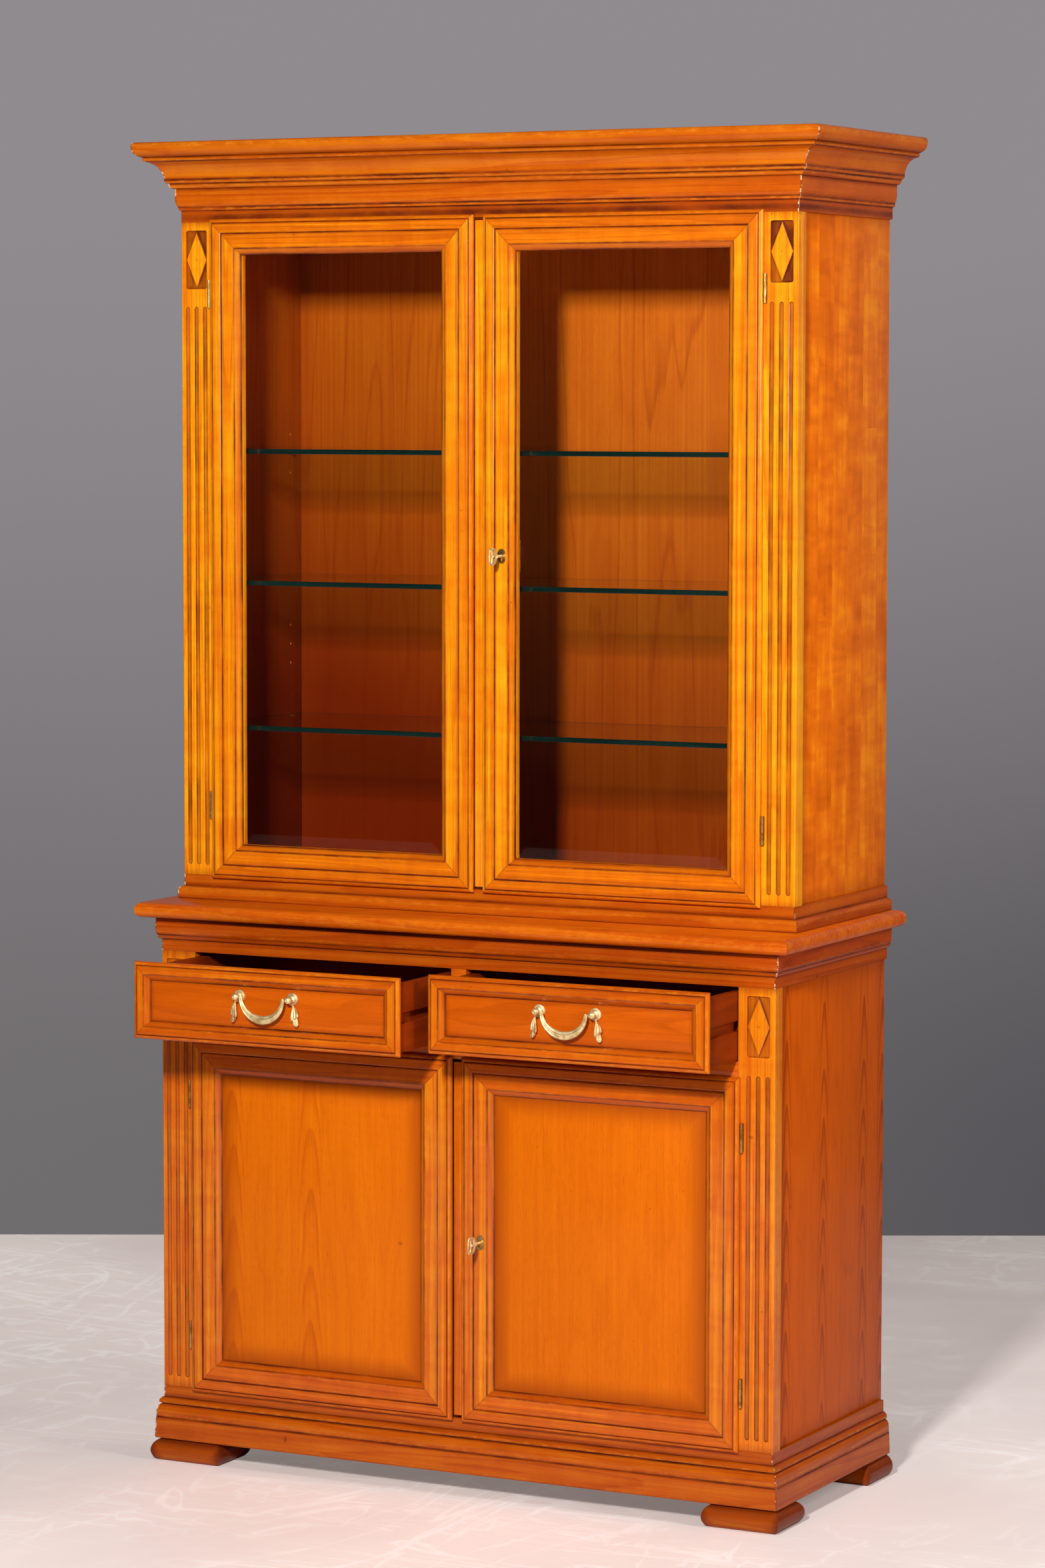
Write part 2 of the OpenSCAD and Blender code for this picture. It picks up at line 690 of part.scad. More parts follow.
// A right-hand door of the case with depth d over the levels low to high
module door_frame(side, d, low, high, levels, fill_t) color(wood) left_or_right(side) difference() {
    section = frame_section(door_edge, frame_back, fill_t, true);
    translate([half_gap, -d, low - lip_end])
        frame(door_w, high - low + 2 * lip_end, section, door_edge);
    for (z = levels) door_leaf_pocket(d, z);
    if (side == "right") translate([lock_x, -d, (low + high) / 2]) rotate([90, 0, 0])
        translate([0, 0, -frame_back - 1]) cylinder(r = keyway_r, h = frame_t + frame_back + 2);
}

module door_infill(side, d, low, high, fill_t) left_or_right(side)
    translate([half_gap, -d, low - lip_end])
        infill(door_w, high - low + 2 * lip_end, door_edge, fill_t);

module meeting_strip(d, low, high) color(wood)
    translate([-half_gap + strip_gap, -d - face_gap, low + strip_slot])
        cube([2 * half_gap + lip_in - strip_gap, strip_t + face_gap, high - low - 2 * strip_slot]);

// ---- Locks ----

bolt_y = frame_back + lock_d / 2;
bolt_clear = 0.3;
bolt_up = keyway_r + 2.3;

// Escutcheon on the inner flat and the lock case on the back of the door
module lock(d, z) color(brass) translate([lock_x, -d, z]) {
    translate([0, -(frame_t - step_drop), 0]) rotate([90, 0, 0]) linear_extrude(escutcheon_t) difference() {
        rounded_rect(escutcheon_w, escutcheon_h, escutcheon_w / 2 - 0.01);
        circle(shank_r + 0.5);
        translate([-1.4, -7.5]) square([2.8, 7.5]);
    }
    translate([-lock_x - lock_reach, frame_back, -lock_h / 2]) difference() {
        cube([lock_w, lock_d, lock_h]);
        translate([lock_x + lock_reach, -1, lock_h / 2]) rotate([-90, 0, 0])
            cylinder(r = keyway_r + 1.6, h = lock_d - 1);
        translate([-1, lock_d / 2 - bolt_t / 2 - bolt_clear, lock_h / 2 + bolt_up - bolt_clear])
            cube([bolt_l + 2, bolt_t + 2 * bolt_clear, bolt_h + 2 * bolt_clear]);
    }
}

module lock_bolt(d, z) color(brass)
    translate([-lock_reach, -d + bolt_y - bolt_t / 2, z + bolt_up]) cube([bolt_l, bolt_t, bolt_h]);

module key(d, z) color(brass) translate([lock_x, -d, z]) union() {
    translate([0, frame_back + lock_d - 3.5, 0]) rotate([90, 0, 0])
        cylinder(r = shank_r, h = bow_out - bow_l / 2 + frame_back + lock_d - 3);
    translate([-1, frame_back + 1.5, -keyway_r + 0.8]) cube([2, 4.5, keyway_r - 0.8]);
    translate([0, -(bow_out - bow_l / 2 - 3), 0]) rotate([90, 0, 0]) cylinder(r = shank_r + 1, h = 3);
    translate([-bow_t / 2, -bow_out, 0]) rotate([90, 0, 90]) linear_extrude(bow_t) difference() {
        rounded_rect(bow_l, bow_h, bow_l / 2 - 0.01);
        rounded_rect(bow_l - 2 * bow_t, bow_h - 2 * bow_t, bow_l / 2 - bow_t - 0.01);
    }
}

// ---- Drawers, drawn as the right-hand one ----

function open_of(side) = side == "left" ? left_open : right_open;

module drawer_place(side) left_or_right(side) translate([0, -open_of(side), 0]) children();

drawer_section = frame_section(drawer_edge, drawer_back, panel_t, false);

module drawer_front(side) color(wood) drawer_place(side)
    translate([half_gap, -lower_d, z_drawer - lip_end])
        frame(drawer_front_w, drawer_front_h, drawer_section, drawer_edge);

module drawer_panel(side) color(dark_wood) drawer_place(side)
    translate([half_gap, -lower_d, z_drawer - lip_end])
        infill(drawer_front_w, drawer_front_h, drawer_edge, panel_t);

bottom_up = 5.9 - hairline;
box_back_drop = 20;

// Sides with runner grooves, a back between them and the bottom
module drawer_box(side) color(inner_wood) drawer_place(side) {
    y0 = -lower_d + drawer_back;
    inside = drawer_right - drawer_left - 2 * drawer_side_t - 2 * hairline;
    groove_low = runner_z - runner_groove_h / 2;
    for (x = [drawer_left, drawer_right - drawer_side_t]) difference() {
        translate([x, y0, drawer_z]) cube([drawer_side_t, drawer_side_l, drawer_side_h]);
        translate([x == drawer_left ? x - 1 : x + drawer_side_t - runner_groove_d, y0 - 1, groove_low])
            cube([runner_groove_d + 1, drawer_side_l + 2, runner_groove_h]);
    }
    translate([drawer_left + drawer_side_t + hairline, y0, drawer_z + bottom_up])
        cube([inside, drawer_side_l, drawer_bottom_t]);
    translate([drawer_left + drawer_side_t + hairline, y0 + drawer_side_l - drawer_side_t,
        drawer_z + bottom_up + drawer_bottom_t + hairline])
        cube([inside, drawer_side_t, drawer_side_h - box_back_drop]);
}

tassel_out = 7;
tassel_lean = 8;

// Rosettes, balls and tassels on the drawer panel
module drawer_pull(side) color(brass) drawer_place(side)
    translate([pull_x, -lower_d - panel_face, pull_z]) for (e = [-1, 1])
    translate([e * pull_pitch / 2, 0, 0]) union() {
        rotate([90, 0, 0]) rotate_extrude() polygon(concat(
            [[0, 0], [rosette_r, 0], [rosette_r, 1.2]],
            arc(rosette_r - 1.6, 1.2, 1.6, 1.3, 0, 90, 4),
            [[rosette_r - 3, 2.5], [rosette_r - 3.6, 3.6]],
            arc(rosette_r - 6, 3.6, 2.4, 1.6, 0, 90, 4),
            [[3, 5.2], [3, ball_out - ball_r + 1], [0, ball_out - ball_r + 1]]));
        difference() {
            translate([0, -ball_out, 0]) sphere(ball_r);
            translate([-e * ball_r - e * 1, -ball_out, 0]) rotate([0, e * 90, 0])
                cylinder(r = pivot_r + pin_clear, h = ball_r + 4);
        }
        translate([e * 4, -tassel_out, -6.5]) rotate([0, -e * tassel_lean, 0])
            rotate_extrude() polygon(tassel_outline());
        translate([e * 2.5, -tassel_out - 0.2, -8]) rotate([-90, 0, 0]) cylinder(r = 1.6, h = 5.5);
    }

// Half outline of a tassel: a cap, a waist, the skirt and the tip, as [radius, height]
function tassel_outline() = concat(
    [[0, 0]], arc(0, -2, 2.2, 2, 80, 0, 3), [[1.7, -4]],
    arc(1.2, -24, tassel_w / 2 - 1.2, 19.5, 85, -20, 8),
    [[1.2, -tassel_l + 0.6], [0, -tassel_l]]);

// The bail: a fluted swag that hangs in half a circle and swells to the middle
bail_steps = 22;
bail_sides = 18;
function bail_ring(a) =
    let (swell = bail_end_t + (bail_mid_t - bail_end_t) * pow(sin(a), 1.6), rc = bail_r - swell / 2)
    [for (j = [0 : bail_sides - 1])
        let (b = j * 360 / bail_sides, r = swell / 2 * (0.94 + 0.06 * cos(6 * b)), rad = rc + r * cos(b))
        [rad * cos(a), r * 0.72 * sin(b), -rad * sin(a)]];

module swag() {
    points = [for (i = [0 : bail_steps]) each bail_ring(180 * i / bail_steps)];
    sides = [for (i = [0 : bail_steps - 1], j = [0 : bail_sides - 1])
        let (k = (j + 1) % bail_sides)
        [i * bail_sides + j, i * bail_sides + k, (i + 1) * bail_sides + k, (i + 1) * bail_sides + j]];
    first = [for (j = [bail_sides - 1 : -1 : 0]) j];
    last = [for (j = [0 : bail_sides - 1]) bail_steps * bail_sides + j];
    polyhedron(points, concat(sides, [first, last]));
}

module drawer_bail(side) color(brass) drawer_place(side)
    translate([pull_x, -lower_d - panel_face - ball_out, pull_z]) union() {
        swag();
        for (e = [-1, 1]) {
            translate([e * (bail_r - bail_end_t / 2), 0, -0.5])
                cylinder(r = bail_end_t * 0.45, h = 2.4, center = true);
            translate([e * (bail_r - bail_end_t / 2), 0, 0]) rotate([0, e * 90, 0])
                cylinder(r = pivot_r, h = pull_pitch / 2 - bail_r + bail_end_t / 2 + 3);
        }
    }

translate([0, shift_y, 0]) {
    feet();
    plinth();
    lower_bottom_band();
    lower_post("left");  // lower_left_post
    lower_post("right");  // lower_right_post
    lower_side("left");  // lower_left_side
    lower_side("right");  // lower_right_side
    lower_back();
    lower_floor();
    lower_shelf();
    middle_rail();
    drawer_divider();
    drawer_runners();
    lower_top_band();
    cove_moulding();
    table_top();
    upper_seat_moulding();
    upper_bottom_band();
    upper_floor();
    upper_post("left");  // upper_left_post
    upper_post("right");  // upper_right_post
    upper_side("left");  // upper_left_side
    upper_side("right");  // upper_right_side
    upper_back();
    upper_ceiling();
    frieze();
    cornice();
    glass_shelves();
    shelf_pins();
    case_hinge_leaves();
    door_frame("left", upper_d, z_up_open, z_up_top, upper_hinges, pane_t);  // upper_left_door_frame
    color(clear_glass) door_infill("left", upper_d, z_up_open, z_up_top, pane_t);  // upper_left_door_glass
    door_hinge_leaves("left", upper_d, upper_hinges);  // upper_left_door_hinge_leaves
    door_frame("right", upper_d, z_up_open, z_up_top, upper_hinges, pane_t);  // upper_right_door_frame
    color(clear_glass) door_infill("right", upper_d, z_up_open, z_up_top, pane_t);  // upper_right_door_glass
    door_hinge_leaves("right", upper_d, upper_hinges);  // upper_right_door_hinge_leaves
    meeting_strip(upper_d, z_up_open, z_up_top);  // upper_meeting_strip
    lock(upper_d, lock_z_up);  // upper_lock
    lock_bolt(upper_d, lock_z_up);  // upper_lock_bolt
    key(upper_d, lock_z_up);  // upper_key
    door_frame("left", lower_d, z_low_open, z_rail, lower_hinges, panel_t);  // lower_left_door_frame
    color(dark_wood) door_infill("left", lower_d, z_low_open, z_rail, panel_t);  // lower_left_door_panel
    door_hinge_leaves("left", lower_d, lower_hinges);  // lower_left_door_hinge_leaves
    door_frame("right", lower_d, z_low_open, z_rail, lower_hinges, panel_t);  // lower_right_door_frame
    color(dark_wood) door_infill("right", lower_d, z_low_open, z_rail, panel_t);  // lower_right_door_panel
    door_hinge_leaves("right", lower_d, lower_hinges);  // lower_right_door_hinge_leaves
    meeting_strip(lower_d, z_low_open, z_rail);  // lower_meeting_strip
    lock(lower_d, lock_z_low);  // lower_lock
    lock_bolt(lower_d, lock_z_low);  // lower_lock_bolt
    key(lower_d, lock_z_low);  // lower_key
    drawer_front("left");  // left_drawer_front
    drawer_panel("left");  // left_drawer_panel
    drawer_box("left");  // left_drawer_box
    drawer_pull("left");  // left_drawer_pull
    drawer_bail("left");  // left_drawer_bail
    drawer_front("right");  // right_drawer_front
    drawer_panel("right");  // right_drawer_panel
    drawer_box("right");  // right_drawer_box
    drawer_pull("right");  // right_drawer_pull
    drawer_bail("right");  // right_drawer_bail
}
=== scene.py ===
import json
import math
import random

import bmesh
import bpy
from mathutils import Matrix, Vector


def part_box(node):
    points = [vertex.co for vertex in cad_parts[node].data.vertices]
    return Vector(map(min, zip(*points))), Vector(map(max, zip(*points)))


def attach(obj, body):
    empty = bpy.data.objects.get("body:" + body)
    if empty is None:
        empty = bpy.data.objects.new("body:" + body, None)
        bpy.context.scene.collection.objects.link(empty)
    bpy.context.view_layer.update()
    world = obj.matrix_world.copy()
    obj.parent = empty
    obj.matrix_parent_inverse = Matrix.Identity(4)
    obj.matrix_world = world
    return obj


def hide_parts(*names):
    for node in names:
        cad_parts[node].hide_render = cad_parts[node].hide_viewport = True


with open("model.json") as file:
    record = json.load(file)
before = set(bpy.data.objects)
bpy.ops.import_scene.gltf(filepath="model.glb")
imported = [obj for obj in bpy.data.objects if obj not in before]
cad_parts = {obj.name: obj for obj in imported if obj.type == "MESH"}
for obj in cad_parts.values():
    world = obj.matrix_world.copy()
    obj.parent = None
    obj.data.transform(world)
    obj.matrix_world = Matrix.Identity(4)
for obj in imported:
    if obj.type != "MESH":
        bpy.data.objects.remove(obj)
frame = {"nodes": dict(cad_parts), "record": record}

mm = 0.001
weld = 0.00001  # points nearer than this are one
mitreShare = 0.7071  # distance from a 45 degree mitre for each unit along the board
dice = random.Random(1907)
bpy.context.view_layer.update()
bodyOf = {n: body for body, names in frame["record"]["behaviour"]["bodies"].items() for n in names}

# Main planes of the case, read from its parts
caseLines = {
    "halfWidth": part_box("lower_right_post")[1].x,
    "lowerFace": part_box("lower_right_post")[0].y,
    "upperFace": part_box("upper_right_post")[0].y,
    "backs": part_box("lower_right_side")[1].y,
    "wall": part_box("lower_right_post")[1].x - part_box("lower_right_side")[0].x,
}


camera = {"place": (3.42558, -6.56959, 1.73858), "yaw": 27.1917, "pitch": 4.7281, "roll": 0.0693,
          "lens": 107.01}


def spin(degrees, axis):
    return Matrix.Rotation(math.radians(degrees), 4, axis)


def addObject(name, data):
    obj = bpy.data.objects.new(name, data)
    bpy.context.scene.collection.objects.link(obj)
    return obj


def meshOf(name, work):
    mesh = bpy.data.meshes.new(name)
    work.to_mesh(mesh)
    work.free()
    return mesh


# The part's own mesh of a node, with its corners joined
def nodeMesh(node):
    work = bmesh.new()
    work.from_mesh(frame["nodes"][node].data)
    bmesh.ops.remove_doubles(work, verts=work.verts, dist=weld)
    return work


# Groups of items that hang together
def islands(items, around):
    done, groups = set(), []
    for first in items:
        if first in done:
            continue
        done.add(first)
        group = [first]
        for item in group:
            for other in around(item):
                if other not in done:
                    done.add(other)
                    group.append(other)
        groups.append(group)
    return groups


def markEdges(work, smooth):
    for edge in work.edges:
        edge.smooth = len(edge.link_faces) == 2 and edge.calc_face_angle(0) < math.radians(smooth)


def setCamera(c):
    yaw, pitch, roll = (math.radians(c[k]) for k in ("yaw", "pitch", "roll"))
    ahead = Vector((-math.sin(yaw) * math.cos(pitch), math.cos(yaw) * math.cos(pitch), -math.sin(pitch)))
    level = Vector((math.cos(yaw), math.sin(yaw), 0))
    up = level.cross(ahead)
    right = level * math.cos(roll) + up * math.sin(roll)
    up = up * math.cos(roll) - level * math.sin(roll)
    data = bpy.data.cameras.new("standCamera")
    data.sensor_fit = "VERTICAL"
    data.sensor_height, data.sensor_width, data.lens = 36, 24, c["lens"]
    data.clip_end = 60
    obj = addObject("standCamera", data)
    turn = Matrix((right, up, -ahead)).transposed().to_4x4()
    obj.matrix_world = Matrix.Translation(c["place"]) @ turn
    bpy.context.scene.camera = obj


setCamera(camera)


def put(tree, kind, inputs=None, **settings):
    node = tree.nodes.new(kind)
    for key, value in settings.items():
        setattr(node, key, value)
    for key, value in (inputs or {}).items():
        socket = node.inputs[key]
        if isinstance(value, bpy.types.NodeSocket):
            tree.links.new(value, socket)
        elif isinstance(value, bpy.types.Node):
            tree.links.new(value.outputs[0], socket)
        else:
            socket.default_value = value
    return node


def calc(tree, operation, a, b=0.0, c=0.0, clamp=False):
    return put(tree, "ShaderNodeMath", {0: a, 1: b, 2: c}, operation=operation, use_clamp=clamp).outputs[0]


def times(tree, a, b, clamp=False):
    return calc(tree, "MULTIPLY", a, b, clamp=clamp)


def plus(tree, a, b, clamp=False):
    return calc(tree, "ADD", a, b, clamp=clamp)


def scaleAdd(tree, a, b, c, clamp=False):
    return calc(tree, "MULTIPLY_ADD", a, b, c, clamp)


def split(tree, vector):
    return put(tree, "ShaderNodeSeparateXYZ", {0: vector}).outputs


def objectPlace(tree):
    return put(tree, "ShaderNodeTexCoord").outputs["Object"]


def freshMaterial(name):
    material = bpy.data.materials.new(name)
    material.use_nodes = True
    material.node_tree.nodes.clear()
    return material, material.node_tree


def scaled(tree, vector, factors):
    return put(tree, "ShaderNodeVectorMath", {0: vector, 1: factors}, operation="MULTIPLY").outputs[0]


def cloud(tree, vector, factors, detail=2.0, rough=0.5, warp=0.0):
    spot = scaled(tree, vector, factors)
    return put(tree, "ShaderNodeTexNoise", {"Vector": spot, "Scale": 1.0, "Detail": detail,
                                            "Roughness": rough,
                                            "Distortion": warp}).outputs[0]


def remap(tree, value, low, high, to0=0.0, to1=1.0, smooth=True):
    return put(tree, "ShaderNodeMapRange", {0: value, 1: low, 2: high, 3: to0, 4: to1},
               interpolation_type="SMOOTHSTEP" if smooth else "LINEAR").outputs[0]


def blendColour(tree, factor, a, b):
    node = put(tree, "ShaderNodeMix", data_type="RGBA", clamp_factor=True)
    for socket, value in ((node.inputs[0], factor), (node.inputs[6], a), (node.inputs[7], b)):
        if isinstance(value, bpy.types.NodeSocket):
            tree.links.new(value, socket)
        else:
            socket.default_value = value
    return node.outputs[2]


# 0-255 screen values as a colour socket's value
def paint(red, green, blue):
    def line(v):
        v /= 255
        return v / 12.92 if v <= 0.04045 else ((v + 0.055) / 1.055) ** 2.4
    return (line(red), line(green), line(blue), 1.0)


# Colours run dark to light; figure sizes are repeats per metre along and across the grain
plainLook = {"coat": 0.3, "cover": 0.86, "chips": 0.0, "rings": 7, "line": 0.5, "mitre": 0.0, "spray": 0.0,
             "reach": 0.03, "stave": 0.0, "specks": 1.0, "gloss": 0.33}
cherryLooks = {
    "cherryFrame": {
        "dark": (186, 80, 3), "mid": (220, 112, 6), "light": (246, 162, 17), "along": 1.1, "across": 30,
        "coat": 0.5, "cover": 0.78, "ripple": 0.35, "figure": 0.16, "streak": 0.62, "fibre": 0.5,
        "mottle": 0.42,
        "mitre": 0.4, "gloss": 0.36},
    "cherryCarcase": {
        "dark": (178, 68, 3), "mid": (216, 102, 6), "light": (240, 138, 14), "along": 1.0, "across": 24,
        "chips": 0.85, "ripple": 0.2, "figure": 0.18, "streak": 0.46, "fibre": 0.42, "mottle": 0.5,
        "mitre": 0.6},
    "cherryDoorPanel": {
        "dark": (164, 68, 3), "mid": (190, 89, 4), "light": (208, 108, 8), "along": 2.1, "across": 16,
        "coat": 0.05, "flame": (0.16, 0.105, 0.024, 0.20), "rings": 6, "line": 0.45, "figure": 0.06,
        "streak": 0.26, "fibre": 0.32, "mottle": 0.22, "spray": 0.5, "reach": 0.045, "specks": 0.8,
        "gloss": 0.36},
    "cherryDrawerPanel": {
        "dark": (140, 57, 4), "mid": (166, 72, 5), "light": (188, 92, 10), "along": 2.2, "across": 14,
        "coat": 0.06, "rings": 6, "figure": 0.15, "streak": 0.26, "fibre": 0.28, "mottle": 0.3,
        "spray": 0.6,
        "reach": 0.014, "specks": 0.8, "gloss": 0.32},
    "cherrySideStaves": {
        "dark": (194, 88, 5), "mid": (220, 110, 7), "light": (242, 146, 16), "along": 1.2, "across": 22,
        "coat": 0.03, "ripple": 0.9, "rings": 5, "figure": 0.08, "streak": 0.26, "fibre": 0.24,
        "mottle": 0.95,
        "spray": 0.25, "stave": 0.058, "specks": 0.3, "gloss": 0.34},
    "cherrySideVeneer": {
        "dark": (148, 56, 3), "mid": (184, 78, 4), "light": (204, 98, 8), "along": 3.4, "across": 22,
        "coat": 0.03, "flame": (0.075, 0.087, 0.02, 0.36), "rings": 6, "line": 0.4, "figure": 0.08,
        "streak": 0.22, "fibre": 0.24, "mottle": 0.3, "spray": 0.3, "specks": 0.5},
    "cherryInside": {
        "dark": (158, 68, 9), "mid": (194, 94, 14), "light": (216, 118, 24), "along": 0.9, "across": 12,
        "coat": 0.05, "line": 0.16, "figure": 0.20, "streak": 0.52, "fibre": 0.30, "mottle": 0.35,
        "spray": 0.3,
        "reach": 0.05, "specks": 0.1, "gloss": 0.42, "aged": 0.95},
    "cherryDrawerBox": {
        "dark": (90, 27, 3), "mid": (118, 39, 5), "light": (142, 52, 9), "along": 1.3, "across": 16,
        "coat": 0.05, "figure": 0.12, "streak": 0.3, "fibre": 0.3, "mottle": 0.4, "specks": 0.4,
        "gloss": 0.40},
}
cherryLooks = {name: plainLook | look for name, look in cherryLooks.items()}
# Copies of one timber with painted shade, darker for the light that falls less on them where they sit: what
# each starts from and its light in red, green, blue
cherryShadedCopies = {
    "cherryLowFrame": ("cherryFrame", (0.74, 0.60, 1.0)),
    "cherryCornice": ("cherryCarcase", (0.66, 0.62, 1.0)),
    "cherryPlinth": ("cherryCarcase", (0.56, 0.47, 1.0)),
    "cherryBand": ("cherryCarcase", (0.54, 0.45, 1.0)),
    "cherryCove": ("cherryCarcase", (0.56, 0.38, 1.0)), "cherrySeat": ("cherryCarcase", (0.62, 0.52, 1.0)),
    "cherryFrieze": ("cherryCarcase", (0.68, 0.60, 1.0)), "cherryTop": ("cherryCarcase", (0.70, 0.53, 1.0)),
    "cherryFoot": ("cherryCarcase", (0.48, 0.40, 1.0)), "cherryRail": ("cherryCarcase", (0.72, 0.56, 1.0)),
}
# Light changed on a look itself, after the shaded copies are taken from it
cherryShifts = {"cherryFrame": (0.92, 0.97, 1.0), "cherrySideStaves": (0.92, 0.85, 1.0),
                "cherryDrawerPanel": (1.2, 1.2, 1.0), "cherryDoorPanel": (1.07, 1.12, 1.0)}
wholeShift = (1.15, 1.15, 1.0)


def scaledLook(look, light):
    changed = dict(look)
    for key in ("dark", "mid", "light"):
        changed[key] = tuple(min(255, round(v * share ** (1 / 2.2))) for v, share in zip(look[key], light))
    return changed


for name, (start, light) in cherryShadedCopies.items():
    cherryLooks[name] = scaledLook(cherryLooks[start], light)
for name, light in cherryShifts.items():
    cherryLooks[name] = scaledLook(cherryLooks[name], light)
for name, look in cherryLooks.items():
    cherryLooks[name] = scaledLook(look, wholeShift)
for name in ("cherryFoot", "cherryTop", "cherryRail", "cherryCarcase"):
    cherryLooks[name]["chips"] = 0.0
# painted shade on the feet under the plinth, with a sprayed stain
cherryLooks["cherryFoot"]["spray"] = 0.7
stainAndShadeColour = paint(132, 46, 5)
glazeAndShadeColour = paint(58, 21, 6)
# pale colour for wear and painted highlights
wearAndHighlightColour = paint(244, 156, 40)
chipColour = paint(238, 196, 150)
# painted shade for the inside, darker towards its low left corner
insideShadeColour = paint(115, 25, 1)


